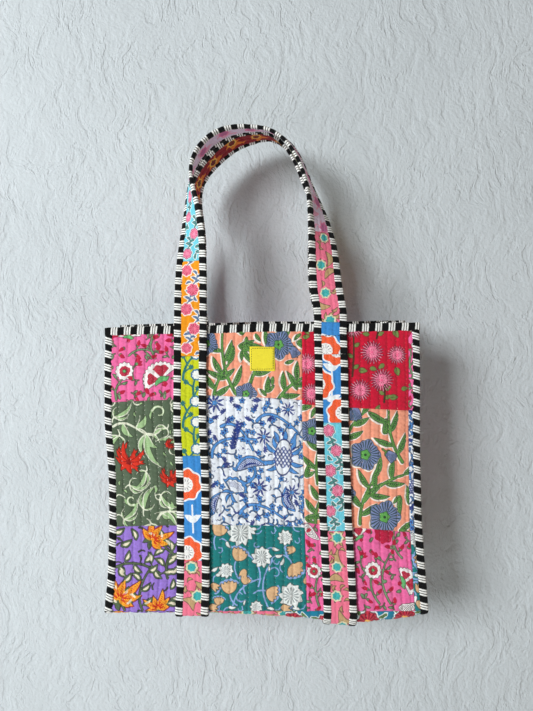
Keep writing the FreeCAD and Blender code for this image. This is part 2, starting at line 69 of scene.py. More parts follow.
# The form of the bag, in millimetres. The front panel, bottom panel and back panel are one strip. A point on it
# has x, across the bag, and t, the distance along the strip from the front panel's top edge.
bag = {
    "hem": nodeSpan("front_lining")[1][2],
    "seam": nodeSpan("front_lining")[0][2],
    "base": nodeSpan("bottom_patch_left")[0][2],
    "halfWidthTop": nodeSpan("top_binding")[1][0],
    "halfWidthBase": nodeSpan("right_seam_binding")[1][0],
    "halfDepthTop": nodeSpan("top_binding")[1][1] - 1.6,
    "halfDepthBase": nodeSpan("bottom_patch_left")[1][1],
    "quilt": 2.6,          # patch, wadding and lining
    "binding": 10.0,       # finished width
    "bulge": 3.5,          # how far each panel puffs out in the middle
    "foldLength": 20.0,    # cloth in the soft turn from a panel to the bottom
    "foldDepth": 12.0,
    "backRise": 7.5,       # the back panel's top edge hangs a little higher than the front's
    "tack": 15.0,          # top edge to the row that tacks the straps
    "ripples": (1.1, 0.8),     # height of the broad and of the short ripples in the cloth
    "hemFall": (4.8, 1.5, 0.5),    # how far the top edge falls at the left, rises at the right, and wavers
    # how far the left and right edges have moved sideways, down the panel
    "leftShift": through([0, 60, 124, 188, 257, 326, 361], [0.1, -0.1, 1.4, 8.4, 10.5, 9.5, 6.3]),
    "rightShift": through([0, 60, 154, 247, 310, 361], [-0.2, 0.1, -2.0, -2.6, 0.7, 4.1]),
    # how far the bottom hangs below the panel seams, across the bag
    "sag": through([-205, -80, 0, 48, 113, 177, 205], [4, 4, 8, 12.5, 19, 12.5, 4]),
}
panelLength = bag["hem"] - bag["seam"]
stripLength = 2 * (panelLength + bag["foldLength"] + bag["halfDepthBase"] - bag["foldDepth"])


def between(top, base, drop):
    # A size of the bag that changes evenly from the hem to the base.
    return bag[top] + (bag[base] - bag[top]) * drop / (bag["hem"] - bag["base"])


def halfWidth(t):
    drop = np.minimum(np.minimum(t, stripLength - t), panelLength)
    return between("halfWidthTop", "halfWidthBase", drop)


def stripPoint(x, t):
    # Down the panel, a quarter of an ellipse round the fold, then flat to the middle of the bottom; the back
    # mirrors the front. The panels puff out and ripple, their sides sway and the top edge falls to the left.
    x, t = np.broadcast_arrays(np.asarray(x, float), np.asarray(t, float))
    face = np.where(t < stripLength / 2, -1.0, 1.0)
    run = np.minimum(t, stripLength - t)
    drop = np.minimum(run, panelLength)
    share = np.clip(drop / panelLength, 0, 1)
    turn = np.clip((run - panelLength) / bag["foldLength"], 0, 1) * pi / 2
    flat = panelLength + bag["foldLength"]
    under = np.clip((run - flat) / (stripLength / 2 - flat), 0, 1)
    side = x / halfWidth(t)
    depth = between("halfDepthTop", "halfDepthBase", drop)
    puff = bag["bulge"] * np.sin(pi * share) ** 0.8 * (1 - np.clip(np.abs(side), 0, 1) ** 5)
    broad, short = bag["ripples"]
    ripple = broad * np.sin(x / 36 + 1.3 + face) * np.sin(drop / 58 + 0.4)
    ripple += short * np.sin(x / 21 - drop / 43 + 2 * face)
    ripple *= np.clip(drop / 50, 0.15, 1) * (1 - share ** 6)
    y = (depth - bag["foldDepth"] * (1 - np.cos(turn))) * (1 - under) + (puff + ripple) * np.cos(turn)
    fall, rise, waver = bag["hemFall"]
    tilt = -fall * np.clip(-side, 0,
                           1.1) ** 1.2 + rise * np.clip(side, 0, 1.1) ** 1.2 + waver * np.sin(x / 27 + 1)
    tilt = (tilt + np.where(face > 0, bag["backRise"], 0)) * (1 - share ** 1.5)
    z = bag["hem"] - drop + tilt - bag["sag"](x) * np.sin(turn)
    shift = bag["leftShift"](drop) * (1 - side) / 2 + bag["rightShift"](drop) * (1 + side) / 2
    return np.stack([x + shift, face * y, z], axis=-1)


def unit(vectors):
    return vectors / np.maximum(np.linalg.norm(vectors, axis=-1, keepdims=True), 1e-9)


def onStrip(x, t, lift=0.0):
    # The strip's point, moved out along the surface's normal by lift.
    acrossStep = stripPoint(x + 0.5, t) - stripPoint(x - 0.5, t)
    alongStep = stripPoint(x, t + 0.5) - stripPoint(x, t - 0.5)
    normal = unit(np.cross(alongStep, acrossStep))
    return stripPoint(x, t) + np.asarray(lift)[..., None] * normal


# The gussets' seams down the side, their cloths, and their shape.
gusset = {
    "rows": [95.0, 255.0], "cloths": {-1: ("crimson", "teal", "peach"), 1: ("lilac", "pink", "olive")},
    "flat": 130.0,      # width of the cloth, laid flat
    "flatHalf": 54.0,   # flat cloth from the crease to a corner
    "past": 1.2,        # how far the cloth runs on past its corners, into the seams
    "soft": 2.2,        # how gently the fold turns into the leaning faces
    "waver": 0.8,
}


def gussetPoint(side, w, drop, lift=0.0):
    # Between the front corner (w = -1) and the back corner (w = 1) the cloth goes in by the smaller of two
    # depths: the fold's, which fades downwards, and the leaning faces', which fades towards the corners. Past the
    # corners it runs out between the panel and the binding.
    w, drop = np.broadcast_arrays(np.asarray(w, float), np.asarray(drop, float))

    def place(w, drop):
        edge = side * (halfWidth(drop) - bag["binding"])
        flange = -2 * bag["quilt"] - 0.3
        front, back = onStrip(edge, drop, flange), onStrip(edge, stripLength - drop, flange)
        inner = np.clip(w, -1, 1)[..., None]
        point = front * (1 - inner) / 2 + back * (1 + inner) / 2
        mouth = bag["halfDepthTop"] + flange
        full = bag["halfDepthBase"] + flange
        fold = (full ** 2 - mouth ** 2) ** 0.5
        fades = fold * (1 - drop / (bag["hem"] - bag["base"]))
        leans = fold / mouth * (mouth + (full - mouth) * drop / panelLength)
        leans *= 1 - np.hypot(inner[..., 0], 0.04)
        soft = gusset["soft"]
        depth = -soft * np.log(np.exp(-fades / soft) + np.exp(-leans / soft))
        depth += gusset["waver"] * np.sin(drop / 31 + 2 * w) * (1 - np.abs(inner[..., 0]))
        out = np.clip(np.abs(w) - 1, 0, 1) * mouth
        point[..., 0] += side * (out - np.maximum(depth, 0))
        return point

    acrossStep = place(w + 0.01, drop) - place(w - 0.01, drop)
    alongStep = place(w, drop + 0.5) - place(w, drop - 0.5)
    normal = unit(np.cross(alongStep, acrossStep)) * side
    return place(w, drop) + np.asarray(lift)[..., None] * normal


def buildMesh(name, points, quads, triangles=(), uv=None, attributes=None):
    mesh = bpy.data.meshes.new(name)
    quads = np.asarray(quads, np.int32).reshape(-1, 4)
    triangles = np.asarray(triangles, np.int32).reshape(-1, 3)
    corners = np.concatenate([quads.ravel(), triangles.ravel()])
    starts = np.concatenate([np.arange(len(quads)) * 4, len(quads) * 4 + np.arange(len(triangles)) * 3])
    mesh.vertices.add(len(points))
    mesh.vertices.foreach_set("co", (np.asarray(points) * mm).astype(np.float32).ravel())
    mesh.loops.add(len(corners))
    mesh.loops.foreach_set("vertex_index", corners)
    mesh.polygons.add(len(starts))
    mesh.polygons.foreach_set("loop_start", starts.astype(np.int32))
    mesh.update(calc_edges=True)
    mesh.polygons.foreach_set("use_smooth", np.ones(len(starts), bool))
    if uv is not None:
        layer = mesh.uv_layers.new(name="cloth")
        layer.data.foreach_set("uv", np.asarray(uv)[corners].astype(np.float32).ravel())
    for key, values in (attributes or {}).items():
        kind, field = ("FLOAT_VECTOR", "vector") if values.ndim == 2 else ("FLOAT", "value")
        mesh.attributes.new(key, kind, "POINT").data.foreach_set(field, values.astype(np.float32).ravel())
    mesh.validate()
    return mesh


def addPiece(name, mesh, material, slot, nodes=(), body="bag", hinge=None):
    # Every piece rides on its body, except one given a hinge, which is put on no body and has its place baked into
    # its mesh.
    piece = bpy.data.objects.new(name, mesh)
    bpy.context.scene.collection.objects.link(piece)
    piece.data.materials.append(material)
    if nodes:
        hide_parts(*nodes)
    if hinge:
        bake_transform(piece)
    else:
        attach(piece, body)
    return piece


def rectangleLoop(rows, cols):
    # Indices round a grid: down the left side, along the foot, up the right side, back along the top.
    index = np.arange(rows * cols).reshape(rows, cols)
    return np.concatenate([index[:-1, 0], index[-1, :-1], index[:0:-1, -1], index[0, :0:-1]])


def gridQuads(rows, cols, start=0, flip=False):
    # A quad for every cell of a grid.
    i = np.arange(rows * cols).reshape(rows, cols) + start
    quads = np.stack([i[:-1, :-1], i[1:, :-1], i[1:, 1:], i[:-1, 1:]], axis=-1).reshape(-1, 4)
    return quads[:, ::-1] if flip else quads


def closedSheet(face, back, ratio):
    # A fine face and a coarse back, joined round the rim by fans of triangles. Each grid step of the back
    # spans ratio steps of the face.
    rows, cols = face.shape[:2]
    backRows, backCols = back.shape[:2]
    first = rows * cols
    fine, coarse = rectangleLoop(rows, cols), rectangleLoop(backRows, backCols) + first
    step = np.arange(len(fine))
    near = coarse[((step + ratio // 2) // ratio) % len(coarse)]
    rim = np.stack([np.roll(fine, -1), fine, near], axis=-1)
    i = np.arange(len(coarse))
    wedge = np.stack([coarse, np.roll(coarse, -1), fine[(i * ratio + ratio - ratio // 2) % len(fine)]],
                     axis=-1)
    quads = np.concatenate([gridQuads(rows, cols), gridQuads(backRows, backCols, first, flip=True)])
    points = np.concatenate([face.reshape(-1, 3), back.reshape(-1, 3)])
    return points, quads, np.concatenate([rim, wedge])


def flatMap(x, y, ratio=1):
    # The flat cloth's own coordinates, for a fine face and then a coarse back.
    x, y = [np.concatenate([part.ravel(), part[::ratio, ::ratio].ravel()]) for part in (x, y)]
    return np.stack([x, y], axis=1)


def lengthAlong(points):
    # Distance from the first point of a path to each of its points.
    return np.concatenate([[0], np.cumsum(np.linalg.norm(np.diff(points, axis=0), axis=1))])


def roundSteps(length, spacing, ratio):
    # How many points divide a length into whole groups of ratio steps, near the spacing asked for.
    return max(1, int(round(length / spacing / ratio))) * ratio + 1


# A print is six fields of distance to a motif's edge, negative inside, and a hatching measure. The cloth's
# material turns each field into one block's ink: 0 halo, 1 leaf, 2 petal, 3 heart, 4 spark, 5 hatching.
hatchGap = 2.2      # from one hatched line to the next


def newArt(x, y):
    return {"x": x.ravel(), "y": y.ravel(), "ink": np.full((6, x.size), 9.0), "hatch": np.zeros(x.size)}


def window(art, low, high):
    # The points of the cloth inside a box.
    x, y = art["x"], art["y"]
    return np.flatnonzero((x > low[0]) & (x < high[0]) & (y > low[1]) & (y < high[1]))


def stamp(art, layer, where, distance):
    art["ink"][layer, where] = np.minimum(art["ink"][layer, where], distance)


def hatch(art, where, mask, measure):
    # The nearest mask decides which motif's measure rules the lines.
    closer = mask < art["ink"][5, where]
    art["ink"][5, where[closer]] = mask[closer]
    art["hatch"][where[closer]] = measure[closer]


def bend(*controls, steps=12):
    # Points along a curve that leans towards its control points: repeated averaging of neighbours.
    share = np.linspace(0, 1, steps + 1)[:, None]
    lines = [np.array(c, float)[None] + 0 * share for c in controls]
    while len(lines) > 1:
        lines = [a * (1 - share) + b * share for a, b in zip(lines, lines[1:])]
    return lines[0]


def stem(art, layer, points, width, tip=None):
    # Distance to the nearest straight piece of the line, less half a width that tapers to the tip.
    points = np.asarray(points, float)
    tip = width if tip is None else tip
    where = window(art, points.min(0) - 6, points.max(0) + 6)
    x, y, nearest = art["x"][where], art["y"][where], np.full(len(where), 9.0)
    for i, (a, b) in enumerate(zip(points, points[1:])):
        d = b - a
        share = np.clip(((x - a[0]) * d[0] + (y - a[1]) * d[1]) / max(d @ d, 1e-6), 0, 1)
        half = (width + (tip - width) * (i + share) / (len(points) - 1)) / 2
        nearest = np.minimum(nearest, np.hypot(x - a[0] - share * d[0], y - a[1] - share * d[1]) - half)
    stamp(art, layer, where, nearest)


def leaf(art, layer, at, angle, length, width, curl=0.0, blunt=0.8, ribs=0.0):
    # Half its width is a bent sine along its length. angle is in degrees, clockwise from the right.
    a = radians(angle)
    reach = length + abs(curl) * length + width
    where = window(art, np.array(at) - reach, np.array(at) + reach)
    dx, dy = art["x"][where] - at[0], art["y"][where] - at[1]
    t = (dx * cos(a) + dy * sin(a)) / length
    inside = np.clip(t, 0, 1)
    s = -dx * sin(a) + dy * cos(a) - curl * length * 4 * inside * (1 - inside)
    half = width / 2 * np.sin(pi * inside ** blunt) ** 0.8
    distance = np.where(t == inside, (np.abs(s) - half) * 0.85, np.hypot((t - inside) * length, s))
    stamp(art, layer, where, distance)
    if ribs:
        hatch(art, where, distance + ribs, t * length * 0.9 + np.abs(s) * 0.9)


def bloom(art, layer, at, radius, lobes=0, depth=0.0, turn=0.0, squash=1.0, angle=0.0, rays=0, hollow=0.4):
    # Distance from the middle less a radius that swells at every lobe.
    a = radians(angle)
    reach = radius * (1 + abs(depth)) / min(squash, 1) + 4
    where = window(art, np.array(at) - reach, np.array(at) + reach)
    dx, dy = art["x"][where] - at[0], art["y"][where] - at[1]
    dx, dy = dx * cos(a) + dy * sin(a), (-dx * sin(a) + dy * cos(a)) / squash
    r, theta = np.hypot(dx, dy), np.arctan2(dy, dx)
    edge = radius * (1 + depth * np.cos(lobes * (theta - turn)))
    distance = (r - edge) * 0.9
    stamp(art, layer, where, distance)
    if rays:
        hatch(art, where, np.maximum(distance + 0.9, hollow * radius - r),
              theta / (2 * pi) * rays * hatchGap)


def fan(art, layer, at, radius, angle, spread, lobes=9, depth=0.08, start=0.0, rays=0):
    # Part of a bloom between two angles, from an inner radius outwards.
    where = window(art, np.array(at) - radius * 1.2, np.array(at) + radius * 1.2)
    dx, dy = art["x"][where] - at[0], art["y"][where] - at[1]
    r = np.hypot(dx, dy)
    theta = (np.arctan2(dy, dx) - radians(angle) + pi) % (2 * pi) - pi
    edge = radius * (1 + depth * np.abs(np.sin(lobes * theta)))
    distance = np.maximum(r - edge, (np.abs(theta) - radians(spread)) * np.maximum(r, 1))
    distance = np.maximum(distance, start * radius - r) * 0.9
    stamp(art, layer, where, distance)
    if rays:
        hatch(art, where, distance + 0.7, theta / (2 * pi) * rays * hatchGap)


def scatter(art, seed, count, gap, draw):
    # Tries count places and draws wherever nothing is nearer than gap.
    dice = np.random.default_rng(seed)
    low, high = (art["x"].min(), art["y"].min()), (art["x"].max(), art["y"].max())
    for _ in range(count):
        at, angle = dice.uniform(low, high), dice.uniform(0, 360)
        nearest = np.argmin((art["x"] - at[0]) ** 2 + (art["y"] - at[1]) ** 2)
        if art["ink"][:5, nearest].min() > gap:
            draw(at, angle, dice)


def haloFrom(art, layers, width):
    # The bare cloth left round motifs: their distance less a width.
    art["ink"][0] = np.minimum(art["ink"][0], art["ink"][list(layers)].min(0) - width)


def away(at, angle, length):
    # The point at a distance and an angle in degrees, clockwise from the right.
    return (at[0] + length * cos(radians(angle)), at[1] + length * sin(radians(angle)))


def carnation(art, at, size, angle):
    # Toothed white petals with rounded crimson ones over them, opening from a small green cup.
    fan(art, 2, at, size, angle, 88, 13, 0.1, 0.1)
    fan(art, 3, away(at, angle - 50, size * 0.12), size * 0.64, angle - 48, 34, 5, 0.12)
    fan(art, 3, away(at, angle + 34, size * 0.12), size * 0.7, angle + 34, 42, 5, 0.12)
    for lean in (-100, 100):
        leaf(art, 4, at, angle + lean, size * 0.52, size * 0.26, 0.15)
    fan(art, 4, away(at, angle + 180, size * 0.14), size * 0.3, angle, 80, 5, 0.2)
    bloom(art, 3, away(at, angle + 180, size * 0.3), size * 0.17, 5, 0.1)


def pinkPrint(art, spots, seed):
    # White and crimson carnations and ringed flowers among green twigs with crimson buds.
    def bud(at, angle, length):
        leaf(art, 3, at, angle, length, length * 0.6, 0.06, 0.7)
        leaf(art, 1, away(at, angle, -1.5), angle + 35, length * 0.45, 2.2)
        leaf(art, 1, away(at, angle, -1.5), angle - 35, length * 0.45, 2.2)

    for kind, x, y, size, angle in spots:
        at = (x, y)
        if kind == "ring":
            bloom(art, 2, at, size, 12, 0.07)
            bloom(art, 3, at, size * 0.58, 9, 0.05)
            bloom(art, 2, at, size * 0.3, 7, 0.1)
            bloom(art, 4, at, size * 0.2, 5, 0.1)
        elif kind == "striped":
            leaf(art, 2, at, angle, size, size * 0.42, 0.1, 0.7, 1.1)
        elif kind == "carnation":
            carnation(art, at, size, angle)
        elif kind == "tuft":
            for lean in (-52, -18, 16, 50):
                leaf(art, 3, at, angle + lean, size, size * 0.44, 0.05, 0.6)
            stem(art, 1, bend(at, away(at, angle + 180, size), away(at, angle + 140, size * 2.2)), 1.9)
            bloom(art, 4, at, size * 0.24, 5, 0.15)
        elif kind == "cloud":
            bloom(art, 3, at, size, 7, 0.08)
        elif kind == "bud":
            bud(at, angle, size)
            stem(art, 1, bend(at, away(at, angle + 180, size * 0.7), away(at, angle + 200, size * 1.4)),
                 1.8)
        elif kind == "branch":
            line = bend(at, away(at, angle - 25, size * 0.6), away(at, angle + 12, size))
            stem(art, 1, line, 2.9, 2.0)
            for i, lean in ((2, 55), (4, -60), (7, 60), (9, -50), (12, 15)):
                tip = away(line[i], angle + lean, 6)
                stem(art, 1, [line[i], tip], 1.7)
                if i % 2:
                    leaf(art, 1, tip, angle + lean, 8.5, 4.0, 0.12)
                else:
                    bud(tip, angle + lean, 8.5)

    def sprig(at, angle, dice):
        stem(art, 1, bend(at, away(at, angle, 4), away(at, angle + 25, 8)), 1.7)
        bud(away(at, angle + 25, 8), angle + 35, dice.uniform(7, 9.5))
        leaf(art, 1, away(at, angle, 3), angle - 55, 7, 3.4)

    scatter(art, seed, 150, 4.6, sprig)

    def loose(at, angle, dice):
        if dice.random() < 0.6:
            bud(at, angle, 8.5)
        else:
            leaf(art, 1, at, angle, 8, 4.2)

    scatter(art, seed + 1, 170, 3.6, loose)


def olivePrint(art, spots, seed):
    # Pale curled acanthus and scarlet flowers.
    def acanthus(at, angle, length, curl):
        # Two or three long curved leaves from one foot, each pale along its outer edge.
        way = 1 if curl > 0 else -1
        for lean, part, bow in ((0, 1.0, curl), (30 * way, 0.66, curl * 1.3), (-34 * way, 0.45, -curl)):
            a, size = radians(angle + lean), length * part
            share = np.linspace(0, 1, 14)
            side = bow * 4 * share * (1 - share) + 0.09 * np.sin(share * pi) * np.sign(bow)
            edge = np.outer(share, (cos(a), sin(a))) + np.outer(side, (-sin(a), cos(a)))
            leaf(art, 1, at, angle + lean, size, size * 0.2, bow, 0.6)
            stem(art, 2, at + edge * size, 1.6, 0.9)
        stem(art, 2, bend(at, away(at, angle + 180, length * 0.12), away(at, angle + 150, length * 0.24)),
             2.0, 1.2)

    for kind, x, y, size, angle in spots:
        at = (x, y)
        if kind == "acanthus":
            acanthus(at, angle, size, 0.16)
        elif kind == "turned":
            acanthus(at, angle, size, -0.16)
        elif kind == "scroll":
            line = bend(at, away(at, angle - 40, size * 0.5), away(at, angle + 30, size * 0.8),
                        away(at, angle, size), steps=16)
            stem(art, 2, line, 3.0, 1.6)
            for i, lean in ((3, 50), (7, -55), (11, 48)):
                leaf(art, 1, line[i], angle + lean, size * 0.36, size * 0.14, 0.2, 0.7)
                curl = bend(line[i], away(line[i], angle + lean, size * 0.18),
                            away(line[i], angle + lean * 1.3, size * 0.28))
                stem(art, 2, curl, 1.5, 0.7)
        elif kind == "flower":
            petals = ((-96, 0.6), (-58, 0.9), (-26, 1.1), (6, 0.8), (32, 1.1), (62, 0.85), (98, 0.6))
            for lean, part in petals:
                turn = 0.14 if lean > 0 else -0.14
                tip = away(at, angle + lean, size * part * 0.6)
                leaf(art, 3, at, angle + lean, size * part, size * 0.3, turn, 0.5)
                leaf(art, 3, tip, angle + lean + 30, size * 0.4, size * 0.14, turn, 0.6)
                vein = bend(away(at, angle + lean, size * 0.15),
                            away(at, angle + lean + turn * 90, size * part * 0.5),
                            away(at, angle + lean, size * part * 0.8))
                stem(art, 4, vein, 1.4, 0.6)
            for lean in (150, 205):
                leaf(art, 3, at, angle + lean, size * 0.6, size * 0.34, 0.1, 0.6)
            bloom(art, 4, at, size * 0.12, 5, 0.2)
        elif kind == "curl":
            turns = np.linspace(0, 1.5 * pi, 18)
            line = [away(at, angle + k * 180 / pi, size * (1 - 0.13 * k)) for k in turns]
            stem(art, 1, line, 4.6, 2.6)
            stem(art, 2, line, 1.8, 1.1)
            leaf(art, 1, line[0], angle - 95, size * 1.3, size * 0.42, 0.15)

    def tendril(at, angle, dice):
        if dice.random() < 0.5:
            acanthus(at, angle, dice.uniform(24, 36), 0.22)
        else:
            stem(art, 2, bend(at, away(at, angle, 7), away(at, angle + 60, 12)), 1.9, 0.9)
            leaf(art, 1, away(at, angle + 60, 11), angle + 90, 12, 4.6, 0.15)

    scatter(art, seed, 150, 5.0, tendril)
    scatter(art, seed + 1, 120, 3.4, lambda at, angle, dice: leaf(art, 1, at, angle, 8, 3.2, 0.2))


def lilacPrint(art, spots, seed):
    # Orange lilies and cream leaves with dark green edges.
    def outlinedLeaf(at, angle, length):
        leaf(art, 1, at, angle, length, length * 0.5, 0.1)
        leaf(art, 3, away(at, angle, length * 0.16), angle + 6, length * 0.62, length * 0.2, 0.12)
        stem(art, 1, [away(at, angle, length * 0.2), away(at, angle + 8, length * 0.7)], 1.0, 0.5)

    for kind, x, y, size, angle in spots:
        at = (x, y)
        if kind == "lily":
            for lean, part in ((-92, 0.8), (-50, 1.1), (-14, 0.85), (20, 1.2), (54, 0.95), (88, 0.7)):
                turn = 0.06 if lean > 0 else -0.06
                foot = away(at, angle + lean, -1)
                leaf(art, 0, foot, angle + lean, size * part + 2, size * 0.42, turn, 0.65)
                leaf(art, 2, at, angle + lean, size * part - 1.2, size * 0.3, turn, 0.65, 0.6)
                for aside in (-7, 7):
                    streak = [away(at, angle + lean + aside * 0.4, size * 0.12),
                              away(at, angle + lean + aside, size * part * 0.62)]
                    stem(art, 4, streak, 1.5, 0.6)
            for lean in (150, 205):
                leaf(art, 1, at, angle + lean, size * 0.55, size * 0.26, 0.1)
        elif kind == "branch":
            line = bend(at, away(at, angle - 22, size * 0.5), away(at, angle + 16, size))
            stem(art, 1, line, 3.4, 2.4)
            for i, lean in ((1, 55), (3, -60), (5, 52), (8, -50), (10, 55), (12, -10)):
                tip = away(line[i], angle + lean, 3)
                stem(art, 1, [line[i], tip], 1.8)
                outlinedLeaf(tip, angle + lean, 16)

    scatter(art, seed, 70, 5.0, lambda at, angle, dice: outlinedLeaf(at, angle, dice.uniform(14, 18)))

    def twig(at, angle, dice):
        stem(art, 1, bend(at, away(at, angle, 4), away(at, angle + 40, 8)), 2.2, 1.2)

    scatter(art, seed + 1, 150, 3.0, twig)


def peachPrint(art, spots, seed):
    # Grey-blue poppies and bells among long green blades with a white edge.
    def blade(at, angle, length, width, curl=0.04):
        # The white block sits a little to one side of the green.
        leaf(art, 0, (at[0] - 1.3, at[1] + 0.7), angle, length + 2.2, width + 2.8, curl)
        leaf(art, 1, at, angle, length, width, curl, 0.8, 1.2)
        rib = [away(at, angle, length * 0.08), away(at, angle + curl * 100, length * 0.5),
               away(at, angle, length * 0.9)]
        stem(art, 4, rib, 0.8, 0.5)

    for kind, x, y, size, angle in spots:
        at = (x, y)
        if kind == "poppy":
            bloom(art, 0, (x - 1.0, y + 0.8), size + 1.2, 5, 0.13, radians(angle))
            bloom(art, 2, at, size, 5, 0.13, radians(angle), rays=27, hollow=0.4)
            bloom(art, 2, at, size * 0.96, 11, 0.05, radians(angle), rays=27, hollow=0.4)
            for k in range(5):
                bloom(art, 3, away(at, angle + k * 72, size * 0.22), size * 0.17, 5, 0.12)
            bloom(art, 4, at, size * 0.09)
        elif kind == "bell":
            for lean in (-26, 0, 26):
                leaf(art, 2, at, angle + lean, size * (1.0 if lean else 1.08), size * 0.46, 0, 0.5)
            fan(art, 2, at, size * 0.86, angle, 34, 5, 0.1, 0.1, rays=50)
            leaf(art, 1, away(at, angle, -2), angle + 60, size * 0.4, 2.8)
            leaf(art, 1, away(at, angle, -2), angle - 60, size * 0.4, 2.8)
            stem(art, 1, [at, away(at, angle + 180, size * 0.5)], 2.4)
        elif kind == "frond":
            line = bend(at, away(at, angle - 12, size * 0.5), away(at, angle + 8, size))
            stem(art, 0, line + np.array([-0.9, 0.5]), 6.0, 4.4)
            stem(art, 1, line, 4.2, 2.8)
            for i, lean in ((2, 44), (4, -46), (7, 42), (9, -42), (12, 2)):
                blade(line[i], angle + lean, 16 + size * 0.18, 7.2, 0.05 if lean > 0 else -0.05)
        elif kind == "blade":
            blade(at, angle, size, size * 0.25)

    def tuft(at, angle, dice):
        blade(at, angle, dice.uniform(19, 26), 6.4)
        blade(at, angle + 42, dice.uniform(13, 18), 5.2)

    scatter(art, seed, 120, 5.0, tuft)
    scatter(art, seed + 1, 80, 4.0, lambda at, angle, dice: blade(at, angle, 13, 4.6))


def chinaPrint(art, spots, seed):
    # Blue on white: scaled artichokes, vines with small flowers, plumes, cones and open baskets.
    for kind, x, y, size, angle in spots:
        at = (x, y)
        if kind == "artichoke":
            for lean in (-150, -120, -62, -34, 34, 62, 120, 150):
                curl = 0.14 if lean > 0 else -0.14
                leaf(art, 1, away(at, angle + lean, size * 0.42), angle + lean * 0.8, size * 0.85,
                     size * 0.24, curl)
            bloom(art, 3, at, size * 0.86, 2, 0.2, 0, 0.68, angle)
            bloom(art, 4, at, size * 0.8, 2, 0.2, 0, 0.68, angle)
            art["hatch"][window(art, np.array(at) - size, np.array(at) + size)] = 1.1
            for k in range(-5, 6):      # the lattice of scales
                for way in (34, -34):
                    spot = away(at, angle + 90, k * size * 0.21)
                    ends = [away(spot, angle + way, reach) for reach in (-size * 0.8, size * 0.8)]
                    line = np.linspace(*ends, 16)
                    kept = line[np.hypot(*(line - at).T) < size * 0.6]
                    if len(kept) > 1:
                        stem(art, 5, kept, 1.9)
            for lean in (-24, 0, 24):
                foot, tip = away(at, angle + lean, size * 0.95), away(at, angle + lean, size * 1.3)
                leaf(art, 1, away(at, angle + lean, size * 0.85), angle + lean, size * 0.66, size * 0.26,
                     0.08)
                stem(art, 3, [foot, tip], 1.0, 0.6)
        elif kind == "cluster":
            for k in range(9):
                foot = away(at, k * 40, size * 0.3)
                leaf(art, 3, foot, angle + k * 40, size * 0.85, size * 0.26, 0.1, 0.6)
            bloom(art, 1, at, size * 0.3, 5, 0.2)
        elif kind == "cone":
            for k in range(9):
                spot = away(at, angle, k * size * 0.11)
                for lean in (-48, 48):
                    leaf(art, 3, spot, angle + lean, size * 0.2, size * 0.085, 0.1, 0.6)
            stem(art, 3, [at, away(at, angle, size)], 3.2, 1.5)
        elif kind == "plume":
            leaf(art, 1, at, angle, size, size * 0.36, -0.18)
            leaf(art, 2, away(at, angle, size * 0.08), angle, size * 0.84, size * 0.26, -0.18, 0.8, 0.3)
            leaf(art, 3, away(at, angle, size * 0.2), angle, size * 0.6, size * 0.06, -0.2)
        elif kind == "vine":
            line = bend(at, away(at, angle - 40, size * 0.5), away(at, angle + 30, size))
            stem(art, 1, line, 4.2, 2.8)
            for i, lean in ((1, 70), (3, -70), (5, 65), (7, -60), (9, 60), (11, -40)):
                tip = away(line[i], angle + lean, size * 0.15)
                stem(art, 1, [line[i], tip], 1.5)
                bloom(art, 1, tip, 3.4, 5, 0.28, radians(angle + i * 20))
                bloom(art, 3, tip, 1.5)
        elif kind == "basket":
            fan(art, 1, at, size, angle, 62, 7, 0.12, 0.0)
            fan(art, 4, at, size * 0.84, angle, 56, 7, 0.1, 0.16)
            fan(art, 2, at, size * 0.8, angle, 50, 5, 0.1, 0.45, rays=54)
            for lean in (-40, 0, 40):
                bloom(art, 3, away(at, angle + lean, size * 0.4), size * 0.11, 3, 0.25)
            for lean in (-118, 118, 180):
                leaf(art, 1, at, angle + lean, size * 0.75, size * 0.22, 0.2)

    def spark(at, angle, dice):
        pick = dice.random()
        if pick < 0.3:
            bloom(art, 1, at, 3.4, 5, 0.3, radians(angle))
            bloom(art, 3, at, 1.4)
        elif pick < 0.55:
            for k in range(5):
                leaf(art, 3, at, angle + k * 36 - 72, 6.5, 2.4, 0.1, 0.6)
        else:
            stem(art, 1, bend(at, away(at, angle, 6), away(at, angle + 70, 10)), 2.0, 1.0)
            leaf(art, 1, away(at, angle + 30, 5), angle - 30, 8, 3.0, 0.15)
            leaf(art, 3, away(at, angle + 70, 9), angle + 90, 7, 2.6, 0.1)

    scatter(art, seed, 330, 2.2, spark)

    def fleck(at, angle, dice):
        layer = 3 if dice.random() < 0.6 else 1
        stem(art, layer, bend(at, away(at, angle, 3), away(at, angle + 70, 5)), 1.1, 0.6)

    scatter(art, seed + 1, 260, 1.5, fleck)


